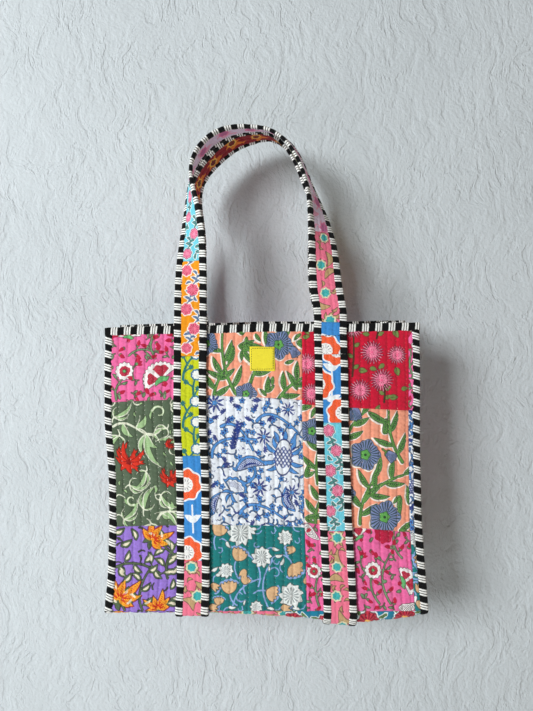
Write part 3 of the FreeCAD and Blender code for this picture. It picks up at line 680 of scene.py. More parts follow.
def tealPrint(art, spots, seed):
    # White lotuses and tan buds on pale blue stalks.
    for kind, x, y, size, angle in spots:
        at = (x, y)
        if kind == "lotus":
            for ring, part, wide in ((9, 1.0, 0.44), (8, 0.8, 0.4)):
                for k in range(ring):
                    turn = angle + k * 360 / ring
                    foot = away(at, turn, size * 0.2)
                    leaf(art, 2, foot, turn + ring * 9, size * part * 0.82, size * wide, 0, 1.0)
            bloom(art, 2, at, size * 0.6, 9, 0.05, radians(angle), rays=14, hollow=0.1)
        elif kind == "bud":
            for lean in (-34, -17, 0, 17, 34):
                leaf(art, 3, at, angle + lean, size * 1.06, size * 0.44, 0, 1.1, 0.5)
            fan(art, 1, at, size * 1.1, angle, 46, 9, 0.06, 0.88)
            stem(art, 1, bend(at, away(at, angle + 180, size * 0.5), away(at, angle + 150, size)), 1.8)
        elif kind == "curl":
            turns = np.linspace(0, 1.5 * pi, 18)
            stem(art, 1, [away(at, angle + k * 180 / pi, size * (1 - 0.13 * k)) for k in turns], 1.9, 1.3)
            leaf(art, 2, away(at, angle, size), angle + 60, size, size * 0.42, 0.1, 0.6)
        elif kind == "stalk":
            stem(art, 1, bend(at, away(at, angle - 20, size * 0.6), away(at, angle + 15, size)), 1.9)

    def small(at, angle, dice):
        pick = dice.random()
        if pick < 0.4:
            for lean in (-22, 0, 22):
                leaf(art, 3, at, angle + lean, 13, 5.4, 0, 0.6)
            fan(art, 1, at, 13.8, angle, 34, 5, 0.06, 0.86)
        elif pick < 0.75:
            leaf(art, 2, at, angle, 11, 4.8, 0.1, 0.6)
            stem(art, 1, bend(at, away(at, angle + 180, 5), away(at, angle + 140, 9)), 1.5)
        else:
            stem(art, 1, [away(at, angle + k * 60, 4.5 * (1 - 0.12 * k)) for k in range(5)], 1.6, 1.1)

    scatter(art, seed, 200, 3.4, small)


def crimsonPrint(art, spots, seed):
    # Pink asters with fine light rays, and dark stalks with olive leaves.
    for kind, x, y, size, angle in spots:
        at = (x, y)
        if kind == "aster":
            for k in range(22):
                turn = angle + k * 360 / 22
                length = size * (0.7 if k % 2 else 0.6)
                leaf(art, 2, away(at, turn, size * 0.3), turn, length, size * 0.14, 0.03, 0.9)
                stem(art, 0, [away(at, turn, size * 0.5), away(at, turn, size * 0.92)], 1.0, 0.7)
            bloom(art, 2, at, size * 0.5, 13, 0.08, radians(angle), rays=17, hollow=0.2)
            for k in range(7):
                bloom(art, 4, away(at, k * 51 + angle, size * 0.2), 0.75)
        elif kind == "stalk":
            line = bend(at, away(at, angle + 4, size * 0.5), away(at, angle, size))
            stem(art, 3, line, 2.8, 2.4)
            for i, lean in ((2, 55), (5, -55), (8, 55), (11, -55)):
                leaf(art, 1, away(line[i], angle + lean, 1), angle + lean, 9, 6, 0, 0.7)
        elif kind == "leaf":
            leaf(art, 1, at, angle, size, size * 0.66, 0, 0.7)
            stem(art, 3, [at, away(at, angle, size * 0.7)], 1.0, 0.6)

    scatter(art, seed, 60, 5, lambda at, angle, dice: leaf(art, 1, at, angle, 10, 6.4, 0, 0.7))


def bigFlowerPrint(art, spots, seed):
    # Large orange flowers with a white heart, and a stalk with two leaves between them.
    for _, x, y, size, angle in spots:
        at = (x, y)
        bloom(art, 0, at, size * 1.12, 8, 0.05, angle)
        bloom(art, 2, at, size, 8, 0.07, angle)
        bloom(art, 3, at, size * 0.5, 11, 0.03)
        for k in range(11):
            stem(art, 4, [away(at, k * 33, size * 0.2), away(at, k * 33, size * 0.4)], 0.9)
    ys = [s[2] for s in spots] or [0]
    for y in (np.array(ys[:-1]) + np.array(ys[1:])) / 2:
        stem(art, 1, [(13, y - 17), (14, y + 17)], 2.2)
        for lean in (-38, -142):
            leaf(art, 1, (13.5, y + 4), lean, 14, 7.5, 0.1 if lean < -90 else -0.1, 0.7)


def bouquetPrint(art, spots, seed):
    # Round flowers, each with a leafy twig to one side, and a bare edge round both.
    for _, x, y, size, angle in spots:
        at = (x, y)
        bloom(art, 2, at, size * 1.1, 7, 0.08, angle, rays=13, hollow=0.3)
        line = bend(away(at, angle + 90, size * 0.9), away(at, angle + 60, size * 2.0),
                    away(at, angle + 72, size * 3.0))
        stem(art, 1, line, 1.7, 1.2)
        for i, lean in ((3, 20), (6, 150), (9, 10), (12, 140)):
            leaf(art, 1, line[i], angle + lean, size * 1.15, size * 0.5, 0.14 if lean < 90 else -0.14)
        for k in range(4):
            fan(art, 3, away(at, angle + k * 90, size * 0.45), size * 0.34, angle + k * 90, 40, 3, 0.1, 0.7)

    scatter(art, seed, 40, 3.6, lambda at, angle, dice: leaf(art, 1, at, angle, 8, 3.4, 0.15))
    haloFrom(art, (1, 2), 1.1)


def branchPrint(art, spots, seed):
    # Bare twigs that fork, with round white blossoms.
    for _, x, y, size, angle in spots:
        line = bend((x, y), away((x, y), angle - 15, size * 0.5), away((x, y), angle + 12, size))
        stem(art, 1, line, 3.6, 2.4)
        for i, lean in ((3, 38), (7, -42), (10, 40)):
            stem(art, 1, [line[i], away(line[i], angle + lean, size * 0.3)], 2.4, 1.6)
            bloom(art, 1, away(line[i], angle + lean, size * 0.32), 3.2, 7, 0.3)
        bloom(art, 0, line[-1], 7.4, 9, 0.05)
        bloom(art, 3, line[-1], 5.4, 9, 0.08)
        bloom(art, 1, line[-1], 0.1)


def paisleyPrint(art, spots, seed):
    # Round fruits inside a curled tan leaf.
    for kind, x, y, size, angle in spots:
        at = (x, y)
        if kind == "fruit":
            for k in range(7):
                leaf(art, 2, away(at, k * 51, size * 0.3), k * 51 + angle, size * 1.1, size * 0.42, 0.15)
            bloom(art, 3, at, size * 0.72, 7, 0.08)
            bloom(art, 4, at, size * 0.52, 7, 0.1)
        else:
            leaf(art, 2, at, angle, size * 2.2, size * 0.9, 0.3)
            leaf(art, 0, away(at, angle, size * 0.4), angle, size * 1.5, size * 0.36, 0.3)
    scatter(art, seed, 60, 3.0, lambda at, angle, dice: leaf(art, 2, at, angle, 9, 3.6, 0.3))


def rosePrint(art, spots, seed):
    # Round crimson roses with a yellow heart and three leaves.
    for _, x, y, size, angle in spots:
        at = (x, y)
        bloom(art, 0, at, size * 1.14, 9, 0.05, angle)
        bloom(art, 2, at, size, 9, 0.06, angle, rays=15, hollow=0.35)
        bloom(art, 3, at, size * 0.26)
        for lean in (60, 170, 280):
            leaf(art, 1, away(at, angle + lean, size), angle + lean, size * 0.9, size * 0.4, 0.12)
    scatter(art, seed, 80, 3.5, lambda at, angle, dice: leaf(art, 1, at, angle, 11, 4.6, 0.15))
    haloFrom(art, (1,), 0.9)


def shade(red, green, blue):
    # A colour as a screen shows it, made linear.
    part = np.array([red, green, blue]) / 255
    linear = np.where(part <= 0.04045, part / 12.92, ((part + 0.055) / 1.055) ** 2.4)
    return (*linear.tolist(), 1.0)


def addNode(tree, kind, inputs=None, **settings):
    # A shader node. Each input is another node's socket or a value.
    made = tree.nodes.new("ShaderNode" + kind)
    for key, value in settings.items():
        setattr(made, key, value)
    for key, value in (inputs or {}).items():
        if isinstance(value, bpy.types.NodeSocket):
            tree.links.new(value, made.inputs[key])
        else:
            made.inputs[key].default_value = value
    return made


def maths(tree, operation, *values):
    return addNode(tree, "Math", dict(enumerate(values)), operation=operation).outputs[0]


def soften(tree, value, low, high, start=0.0, end=1.0):
    inputs = {0: value, 1: low, 2: high, 3: start, 4: end}
    return addNode(tree, "MapRange", inputs, interpolation_type="SMOOTHSTEP").outputs[0]


def tint(tree, factor, under, over, mode="MIX"):
    inputs = {0: factor, 6: under, 7: over}
    return addNode(tree, "Mix", inputs, data_type="RGBA", blend_type=mode).outputs[2]


def startMaterial(name):
    material = bpy.data.materials.new(name)
    material.use_nodes = True
    tree = material.node_tree
    tree.nodes.clear()
    return material, tree


def clothUv(tree, scale=(1, 1, 1)):
    # The piece's own map, in millimetres of cloth.
    uv = addNode(tree, "UVMap", uv_map="cloth").outputs[0]
    return addNode(tree, "Mapping", {"Vector": uv, "Scale": scale}).outputs[0]


def noise(tree, vector, detail=2.0, roughness=0.5, scale=1.0):
    inputs = {"Vector": vector, "Scale": scale, "Detail": detail, "Roughness": roughness}
    return addNode(tree, "TexNoise", inputs).outputs["Fac"]


def pointField(tree, name):
    # The three parts of one of the piece's own point attributes.
    vector = addNode(tree, "Attribute", attribute_name=name).outputs["Vector"]
    return addNode(tree, "SeparateXYZ", {0: vector}).outputs


def finishCloth(tree, colour, weave=0.55, sheen=0.12, roughness=0.93, wrinkle=0.7):
    # Plain weave: uneven threads both ways tint the cloth and raise it, with faint creases over them.
    thick = noise(tree, clothUv(tree, (0.12, 2.3, 1)))
    thin = noise(tree, clothUv(tree, (2.3, 0.1, 1)))
    slub = maths(tree, "ADD", thick, thin)
    faded = noise(tree, clothUv(tree, (0.03, 0.03, 1)), 3.0)
    tone = maths(tree, "MULTIPLY_ADD", slub, 0.22, 0.87)
    mottled = noise(tree, clothUv(tree, (0.4, 0.5, 1)), 3.0, 0.7)
    tone = maths(tree, "MULTIPLY_ADD", faded, 0.16, maths(tree, "SUBTRACT", tone, 0.08))
    tone = maths(tree, "MULTIPLY_ADD", mottled, 0.24, maths(tree, "SUBTRACT", tone, 0.12))
    grey = addNode(tree, "CombineColor", {0: tone, 1: tone, 2: tone}).outputs[0]
    colour = tint(tree, 1.0, colour, grey, "MULTIPLY")
    split = addNode(tree, "SeparateXYZ", {0: clothUv(tree, (2 * pi / weave, 2 * pi / weave, 1))}).outputs
    threads = maths(tree, "MULTIPLY", maths(tree, "SINE", split[0]), maths(tree, "SINE", split[1]))
    height = maths(tree, "MULTIPLY_ADD", threads, 0.03, maths(tree, "MULTIPLY", slub, 0.16))
    crease = noise(tree, clothUv(tree, (0.22, 0.3, 1)), 3.0, 0.6)
    height = maths(tree, "MULTIPLY_ADD", crease, wrinkle * 2, height)
    bump = addNode(tree, "Bump", {"Height": height, "Distance": 0.001, "Strength": 0.9}).outputs[0]
    shader = addNode(tree, "BsdfPrincipled", {
        "Base Color": colour, "Roughness": roughness, "Specular IOR Level": 0.2, "Sheen Weight": sheen,
        "Sheen Roughness": 0.6, "Normal": bump,
    })
    addNode(tree, "OutputMaterial", {0: shader.outputs[0]})


# Each print's ground, then the inks of its blocks in the order they are laid, and the thin line round some.
prints = {
    "pink": dict(ground=(242, 110, 168), leaf=(112, 158, 112), petal=(248, 244, 242), heart=(186, 22, 58),
        spark=(98, 184, 112), line=(86, 62, 58), outlined="leaf petal spark", hatch=(70, 52, 56),
        draw=pinkPrint),
    "olive": dict(ground=(88, 104, 82), leaf=(164, 196, 142), petal=(232, 234, 212), heart=(222, 48, 28),
        spark=(140, 22, 20), line=(44, 46, 38), outlined="leaf heart", draw=olivePrint),
    "lilac": dict(ground=(156, 122, 212), halo=(214, 66, 30), leaf=(84, 104, 66), petal=(252, 182, 44),
        heart=(238, 228, 200), spark=(206, 40, 26), line=(54, 44, 50), outlined="halo leaf",
        hatch=(222, 84, 30), draw=lilacPrint),
    "peach": dict(ground=(248, 162, 132), halo=(253, 244, 232), leaf=(88, 146, 62), petal=(116, 132, 178),
        heart=(96, 168, 76), spark=(40, 70, 40), line=(44, 64, 48), outlined="leaf petal heart",
        hatch=(40, 66, 58), draw=peachPrint),
    "blueWhite": dict(ground=(234, 238, 246), leaf=(74, 142, 212), petal=(196, 206, 234),
        heart=(36, 54, 128), spark=(236, 240, 248), line=(36, 46, 74), outlined="leaf petal spark",
        hatch=(44, 62, 132), hatchLast=True, draw=chinaPrint),
    "teal": dict(ground=(26, 122, 122), leaf=(148, 174, 226), petal=(238, 240, 238), heart=(228, 184, 138),
        line=(52, 62, 62), outlined="petal heart", hatch=(140, 148, 150), draw=tealPrint),
    "crimson": dict(ground=(206, 20, 54), late=(252, 184, 202), leaf=(112, 140, 74), petal=(238, 104, 146),
        heart=(70, 48, 32), spark=(180, 30, 76), line=(120, 22, 46), outlined="leaf petal",
        hatch=(250, 170, 192), draw=crimsonPrint),
    "orange": dict(ground=(248, 156, 24), halo=(252, 244, 232), leaf=(84, 116, 160), petal=(242, 116, 146),
        heart=(198, 40, 74), line=(60, 80, 120), outlined="", hatch=(206, 60, 96), draw=bouquetPrint),
    "aqua": dict(ground=(112, 206, 224), halo=(238, 244, 240), leaf=(70, 140, 130), petal=(240, 140, 172),
        heart=(196, 44, 90), line=(60, 100, 110), outlined="leaf petal", hatch=(206, 60, 104),
        draw=bouquetPrint),
    "lime": dict(ground=(206, 214, 32), halo=(60, 124, 176), leaf=(30, 118, 122), petal=(244, 244, 238),
        heart=(248, 248, 242), line=(24, 80, 84), outlined="", draw=branchPrint),
    "blue": dict(ground=(62, 142, 214), halo=(246, 248, 250), leaf=(246, 248, 250), petal=(250, 92, 30),
        heart=(248, 248, 246), spark=(60, 50, 60), line=(180, 50, 20), outlined="", draw=bigFlowerPrint),
    "salmon": dict(ground=(246, 122, 150), halo=(248, 216, 200), leaf=(92, 150, 110), petal=(196, 164, 116),
        heart=(232, 226, 190), spark=(52, 176, 176), line=(96, 70, 60), outlined="petal",
        draw=paisleyPrint),
    "lavender": dict(ground=(232, 212, 234), halo=(246, 240, 246), leaf=(160, 150, 200),
        petal=(240, 170, 200), heart=(232, 120, 170), spark=(200, 110, 160), line=(150, 120, 160),
        outlined="", draw=paisleyPrint),
    "wine": dict(ground=(150, 18, 36), halo=(250, 190, 80), leaf=(232, 126, 36), petal=(238, 130, 40),
        heart=(250, 200, 90), spark=(120, 14, 30), line=(70, 10, 20), outlined="", draw=paisleyPrint),
    "rose": dict(ground=(30, 132, 164), halo=(238, 242, 240), leaf=(86, 120, 60), petal=(200, 28, 58),
        heart=(246, 190, 90), line=(40, 40, 50), outlined="petal", hatch=(130, 14, 40), draw=rosePrint),
}


def printMaterial(name, look):
    # Each block's ink covers the cloth inside its motif's edge, which a little noise makes uneven; the ink is
    # thinner in specks. A thin line follows the edge of some motifs, and hatching fills others.
    material, tree = startMaterial(name)
    first, second = pointField(tree, "printA"), pointField(tree, "printB")
    phase = addNode(tree, "Attribute", attribute_name="hatching").outputs["Fac"]
    ragged = maths(tree, "MULTIPLY_ADD", noise(tree, clothUv(tree, (0.85, 0.85, 1)), 2.0), 1.0, -0.5)
    speck = soften(tree, noise(tree, clothUv(tree, (1.5, 1.5, 1)), 2.0), 0.34, 0.46, 0.72, 1.0)
    fields = {"halo": first[0], "leaf": first[1], "petal": first[2], "heart": second[0], "spark": second[1]}
    colour = shade(*look["ground"])
    for ink, field in fields.items():
        edge = maths(tree, "ADD", field, ragged)
        if ink in look:
            cover = maths(tree, "MULTIPLY", soften(tree, edge, -0.25, 0.2, 1.0, 0.0), speck)
            colour = tint(tree, cover, colour, shade(*look[ink]))
            if ink in look["outlined"].split():
                near = maths(tree, "ABSOLUTE", maths(tree, "ADD", edge, 0.1))
                colour = tint(tree, soften(tree, near, 0.3, 0.62, 0.8, 0.0), colour, shade(*look["line"]))
        if ink == ("spark" if "hatchLast" in look else "petal") and "hatch" in look:
            share = maths(tree, "FRACT", maths(tree, "DIVIDE", phase, hatchGap))
            wave = maths(tree, "ABSOLUTE", maths(tree, "SUBTRACT", share, 0.5))
            bars = maths(tree, "MULTIPLY", soften(tree, wave, 0.16, 0.27, 0.92, 0.0),
                         soften(tree, second[2], -0.5, 0.1, 1.0, 0.0))
            colour = tint(tree, bars, colour, shade(*look["hatch"]))
    if "late" in look:      # a light block over the petals
        edge = maths(tree, "ADD", fields["halo"], ragged)
        colour = tint(tree, soften(tree, edge, -0.25, 0.2, 0.8, 0.0), colour, shade(*look["late"]))
    finishCloth(tree, colour)
    return material


def plainCloth(name, colour, **how):
    material, tree = startMaterial(name)
    finishCloth(tree, shade(*colour), **how)
    return material


# The tape's stripes: a broad black bar, then three pale lines with thin black between them. A mark is a share of
# the repeat and whether the stripe there is pale.
stripes = {
    "repeat": 17.0, "black": (9, 9, 11), "pale": (243, 242, 238),
    "marks": [(0.0, 0), (0.47, 0), (0.495, 1), (0.60, 1), (0.62, 0), (0.66, 0), (0.68, 1), (0.78, 1),
              (0.80, 0),
              (0.84, 0), (0.86, 1), (0.96, 1), (0.985, 0)],
}


def stripedBinding(name, slant=0.1):
    # The stripes follow one another along the tape and lean a little across it.
    material, tree = startMaterial(name)
    split = addNode(tree, "SeparateXYZ", {0: clothUv(tree)}).outputs
    wander = noise(tree, clothUv(tree, (0.4, 0.5, 1)), 2.0)
    lean = maths(tree, "MULTIPLY_ADD", split[0], slant, split[1])
    along = maths(tree, "MULTIPLY_ADD", wander, 0.9, lean)
    share = maths(tree, "FRACT", maths(tree, "DIVIDE", along, stripes["repeat"]))
    ramp = addNode(tree, "ValToRGB", {0: share})
    stops, marks = ramp.color_ramp.elements, stripes["marks"]
    stops[0].position, stops[1].position = 0.0, 0.985
    for position, pale in marks[1:-1]:
        stops.new(position)
    for stop, (position, pale) in zip(stops, marks):
        stop.position, stop.color = position, shade(*stripes["pale" if pale else "black"])
    finishCloth(tree, ramp.outputs[0], sheen=0.03, wrinkle=0.35)
    return material


materials = {key: printMaterial(f"{key}_block_print", look) for key, look in prints.items()}
materials["binding"] = stripedBinding("striped_binding")
materials["seamBinding"] = stripedBinding("striped_seam_binding", 0.3)
materials["lining"] = plainCloth("natural_cotton_lining", (218, 206, 186))
quiltThread, tree = startMaterial("quilting_thread")
finishCloth(tree, addNode(tree, "Attribute", attribute_name="dye").outputs["Color"], weave=0.3,
            wrinkle=0.05)
materials["quiltThread"] = quiltThread
materials["darkThread"] = plainCloth("dark_thread", (44, 40, 42), weave=0.3, wrinkle=0.05)
materials["label"] = plainCloth("yellow_label", (244, 226, 60), wrinkle=0.1)
print("materials made:", len(materials))


# Rows of running stitch through the patches, in millimetres of cloth.
quilting = {
    "rowGap": 11.5, "stitchGap": 5.8,
    "rowPhase": 2.4,    # each row's stitches start later than the last's, as an angle
    "groove": 1.2, "pucker": 0.62, "crease": 0.42, "seamDip": 1.0,
    "backing": -2.4,    # the underside of the wadding
}


def crumple(x, y, seed, low, high, lean):
    # Several waves of random length and slant, added.
    dice, total = np.random.default_rng(seed), 0.0
    for _ in range(7):
        k = 2 * pi / dice.uniform(low, high)
        total = total + np.sin(k * y + k * lean * dice.uniform(-1, 1) * x + dice.uniform(0, 6.3))
    return total / 7 ** 0.5


def rowWander(x, y):
    # How far a row sewn by hand strays from straight.
    return 0.9 * np.sin(y / 53 + 0.7 + x / 90) + 0.45 * np.sin(y / 19 + x / 31)


def quiltLift(x, y, seed=3):
    # A groove along each row of running stitch, puckered once a stitch, and short creases between the rows.
    place = x + rowWander(x, y)
    row = np.round(place / quilting["rowGap"])
    off = place - row * quilting["rowGap"]
    lift = -quilting["groove"] * np.exp(-(off / 1.5) ** 2)
    phase = 2 * pi * y / quilting["stitchGap"] + row * quilting["rowPhase"]
    lift = lift + quilting["pucker"] * np.cos(phase) * np.exp(-(off / 2.8) ** 2)
    calm = 0.55 + 0.45 * crumple(x, y, seed + 20, 60, 140, 1.0)
    lift = lift + quilting["crease"] * calm * crumple(x, y, seed, 6, 13, 0.5)
    return lift + 0.25 * crumple(x, y, seed + 9, 16, 34, 1.2)


def rimDip(x, y, width=1.7):
    # How far the cloth turns down into the seams round a patch.
    near = np.minimum(np.minimum(np.abs(x - x[:, :1]), np.abs(x[:, -1:] - x)),
                      np.minimum(np.abs(y - y[:1]), np.abs(y[-1:] - y)))
    return -quilting["seamDip"] * np.exp(-(near / width) ** 2)


def printed(art, backPoints):
    # The print as point attributes. The back of a patch carries none, so its distances are large.
    bare = 9.0
    ink = np.pad(art["ink"], ((0, 0), (0, backPoints)), constant_values=bare)
    hatching = np.pad(art["hatch"], (0, backPoints), constant_values=bare)
    return {"printA": ink[:3].T, "printB": ink[3:].T, "hatching": hatching}


def addPatch(name, cloth, slot, place, u, v, x, y, ratio, spots, seed):
    # place(u, v, lift) is the surface; x and y are the same points on the flat cloth, in millimetres. The patch
    # stands for the node of its own name.
    face = place(u, v, quiltLift(x, y) + rimDip(x, y))
    u, v = u[::ratio, ::ratio], v[::ratio, ::ratio]
    points, quads, triangles = closedSheet(face, place(u, v, np.full(u.shape, quilting["backing"])), ratio)
    art = newArt(x - x.min(), y - y.min())
    prints[cloth]["draw"](art, spots, seed)
    mesh = buildMesh(name, points, quads, triangles, flatMap(x, y, ratio), printed(art, u.size))
    piece = addPiece(name, mesh, materials[cloth], slot, [name])


def spread(cloth, width, height, seed):
    # Large motifs in loose half-drop rows, for the patches that have no motifs listed.
    sizes, gap = motifs[cloth]
    kinds, dice, spots = list(sizes), np.random.default_rng(seed), []
    for j, y in enumerate(np.arange(gap * 0.3, height + gap * 0.4, gap * 0.8)):
        for x in np.arange(gap * (0.25 + 0.5 * (j % 2)), width + gap * 0.4, gap):
            kind = kinds[len(spots) % len(kinds)]
            place = x + dice.uniform(-4, 4), y + dice.uniform(-4, 4)
            spots.append((kind, *place, dice.uniform(*sizes[kind]), dice.uniform(0, 360)))
    return spots


# Each print's large motifs: the smallest and largest of each kind, and the gap between them.
motifs = {
    "pink": ({"carnation": (15, 19), "ring": (8, 11), "branch": (34, 46), "tuft": (7, 9)}, 38),
    "olive": ({"acanthus": (38, 48), "flower": (16, 21), "scroll": (50, 70), "curl": (9, 12)}, 36),
    "lilac": ({"lily": (18, 24), "branch": (46, 60)}, 38),
    "peach": ({"poppy": (12, 16), "frond": (42, 54), "bell": (15, 19)}, 38),
    "blueWhite": ({"vine": (46, 58), "cluster": (7, 10), "basket": (15, 18), "plume": (24, 32),
                   "artichoke": (15, 17), "cone": (24, 30)}, 28),
    "teal": ({"lotus": (13, 16), "bud": (15, 19), "stalk": (40, 55), "curl": (8, 10)}, 30),
    "crimson": ({"aster": (14, 16), "stalk": (46, 60)}, 34),
    "salmon": ({"fruit": (9.5, 11), "paisley": (8, 10)}, 22),
    "rose": ({"rose": (12, 15)}, 46),
}

slots = {"pink": "pink_print", "olive": "olive_print", "lilac": "lilac_print", "peach": "peach_print",
         "blueWhite": "blue_white_print", "teal": "teal_print", "crimson": "crimson_print"}
columnNames = ("left", "centre", "right", "edge")
rowNames = ("top", "middle", "bottom")

# Under spots are the front's large motifs, by kind: across and down from the patch's top left corner, size, angle.
front = {
    "grid": (1.05, 8),      # spacing of its points, and how many times coarser the back of a patch is
    "columns": [-73.0, 51.0, 188.0],
    # two row seams at the left and right ends of each column
    "rows": {"left": [(96, 93), (254.5, 253)], "centre": [(89, 97), (251.5, 257)],
             "right": [(102, 112), (251, 263.5)],
             "edge": [(111, 112), (264, 265)]},
    "cloths": {"left": ("pink", "olive", "lilac"), "centre": ("peach", "blueWhite", "teal"),
               "right": ("crimson", "peach", "pink"), "edge": ("pink", "blueWhite", "teal")},
    "spots": {
        "left_top": {
            "carnation": [(68, 68, 22, -128), (25, 12, 15, -90)],
            "ring": [(20.7, 55.8, 11.5, 0), (108, 60, 10, 0)],
            "tuft": [(36, 47, 9, -40), (100, 20, 9, -60)],
            "cloud": [(5, 4, 9, 0)],
            "branch": [(60, 40, 38, -100), (10, 92, 30, -80), (26, 36, 32, -18)],
            "bud": [(48, 78, 10, 60)],
        },
        "left_middle": {
            "flower": [(22, 80, 26, -70), (76, 58, 10, -20), (75, 103, 18, -95)],
            "scroll": [(6, 34, 62, 5), (58, 152, 40, -30)],
            "acanthus": [(48, 44, 46, 68), (8, 22, 30, -40), (14, 152, 30, -55), (96, 126, 30, -120)],
            "turned": [(40, 140, 34, -60), (92, 40, 34, 60), (44, 92, 30, 130)],
            "curl": [(66, 17, 9, 190), (24, 128, 7, 60)],
        },
        "left_bottom": {
            "lily": [(52, 18, 25, -40), (12, 92, 30, -62), (62, 104, 21, -100), (104, 86, 18, -50)],
            "branch": [(2, 54, 62, -10), (42, 106, 56, -96), (72, 66, 58, -84), (20, 106, 40, -110),
                (96, 40, 44, 200)],
        },
        "centre_top": {
            "frond": [(42, 92, 84, -112), (58, 74, 66, -62), (92, 98, 50, -48), (10, 98, 52, -76)],
            "poppy": [(1, 22, 14, 20), (52, 88, 13, 0), (94, 26, 17, 10)],
            "bell": [(111, 30, 14, 60)],
            "blade": [(118, 84, 28, -120)],
        },
        "centre_middle": {
            "artichoke": [(98, 80, 23, -84)],
            "vine": [(6, 78, 60, -50), (40, 150, 56, -24), (66, 34, 54, -14), (60, 92, 40, 110),
                (20, 40, 50, 8)],
            "cluster": [(74, 54, 10, 0), (66, 118, 11, 30), (12, 10, 12, 20), (108, 124, 10, 10),
                (106, 20, 9, 0)],
            "cone": [(32, 68, 36, -72)],
            "basket": [(30, 124, 19, -60)],
            "plume": [(34, 96, 44, -8), (112, 148, 34, -110), (6, 150, 30, -70)],
        },
        "centre_bottom": {
            "lotus": [(40, 11, 20, 0), (21, 58, 12, 20), (67, 42, 16, 10), (104, 90, 19, 0),
                (98, 18, 12, 30), (60, 104, 10, 0)],
            "bud": [(8, 14, 17, -60), (34, 46, 17, -62), (26, 88, 17, -96), (44, 76, 11, -70),
                (12, 102, 11, -85), (106, 50, 17, 70), (72, 84, 16, 20)],
            "curl": [(40, 90, 8, 40), (84, 62, 8, 200)],
            "stalk": [(30, 104, 50, -60), (76, 106, 60, -100), (52, 40, 40, 60)],
        },
        "right_top": {
            "aster": [(90, 36, 16, 0), (66, 4, 14, 20), (122, 40, 13, 10), (102, 72, 16, 0),
                (74, 84, 15, 5), (6, 50, 14, 0), (12, 88, 14, 8), (48, 56, 13, 0), (30, 14, 14, 0)],
            "stalk": [(64, 66, 56, -88), (96, 18, 22, -80), (105, 100, 22, -88), (26, 90, 60, -92)],
            "leaf": [(92, 4, 10, 20), (118, 8, 12, 60), (120, 56, 12, 70), (72, 58, 12, 10),
                (112, 94, 12, 0)],
        },
        "right_middle": {
            "poppy": [(80, 64, 18, 0), (50, 112, 15, 0), (104, 142, 19, 0), (12, 34, 15, 0)],
            "bell": [(66, 4, 18, 80), (108, 62, 15, 40)],
            "frond": [(128, 74, 70, -112), (72, 150, 62, -78), (54, 50, 44, -66), (18, 100, 56, -90),
                (78, 122, 60, -40), (14, 150, 40, -80)],
            "blade": [(84, 10, 32, 30)],
        },
        "right_bottom": {
            "striped": [(1, 1, 27, 48), (116, 106, 27, -14)],
            "carnation": [(124, 74, 17, -20), (70, 18, 14, -130), (42, 40, 15, -60)],
            "ring": [(86, 59, 10.5, 0), (10, 60, 9, 0)],
            "cloud": [(102, 14, 12, 0)],
            "branch": [(106, 100, 66, -96), (92, 100, 50, -104), (16, 104, 60, -88), (124, 44, 40, -110)],
            "tuft": [(72, 42, 9, -60), (56, 84, 9, 40)],
        },
    },
}
back = {
    "grid": (1.6, 6),
    "columns": [-73.0, 51.0, 188.0],
    "rows": {"left": [(95, 95), (255, 255)], "centre": [(95, 95), (255, 255)],
             "right": [(106, 106), (266, 266)],
             "edge": [(106, 106), (266, 266)]},
    "cloths": {"left": ("teal", "crimson", "peach"), "centre": ("lilac", "pink", "olive"),
               "right": ("blueWhite", "teal", "crimson"), "edge": ("peach", "olive", "pink")},
    "spots": {},
}
bottomPanel = {"seams": [-72.0, 24.0], "cloths": ("lilac", "salmon", "rose"),
               "slots": ("lilac_print", "peach_print", "teal_print")}
seamAllowance = 4       # cloth that runs on under the bindings


def panelPatches(face, panel):
    # Every patch of a panel: columns between the seams, rows between slightly slanted seams.
    under = bag["binding"] - seamAllowance
    spacing, ratio = panel["grid"]
    seams = [-bag["halfWidthBase"], *panel["columns"], bag["halfWidthBase"]]
    for c, column in enumerate(columnNames):
        for r, row in enumerate(rowNames):
            starts, ends = [(0.6, 0.6), *panel["rows"][column], (panelLength, panelLength)][r:r + 2]
            width, height = seams[c + 1] - seams[c], max(ends) - min(starts)
            q = np.linspace(0, 1, roundSteps(height, spacing, ratio))[:, None]
            p = np.linspace(0, 1, roundSteps(width, spacing, ratio))[None]
            side = halfWidth((sum(starts) * (1 - q) + sum(ends) * q) / 2) - under
            left = seams[c] if c else -side
            right = seams[c + 1] if c < 3 else side
            x = left * (1 - p) + right * p + 0 * q
            t = (starts[0] * (1 - p) + starts[1] * p) * (1 - q) + (ends[0] * (1 - p) + ends[1] * p) * q
            cloth = panel["cloths"][column][r]
            seed = c * 7 + r * 31 + (0 if face == "front" else 500)
            groups = panel["spots"].get(f"{column}_{row}", {})
            spots = [(kind, *place) for kind, places in groups.items() for place in places]
            spots = spots or spread(cloth, width, height, seed)
            u, v, flatX = x, t, x
            if face == "back":      # seen from behind, x runs the other way over the cloth
                t = t[:, ::-1]
                u, v, flatX = x[:, ::-1], stripLength - t, -x[:, ::-1]
            addPatch(f"{face}_patch_{column}_{row}", cloth, slots[cloth], onStrip, u, v, flatX, t, ratio,
                     spots, seed)


panelPatches("front", front)
print("front panel quilted")
panelPatches("back", back)
print("back panel quilted")

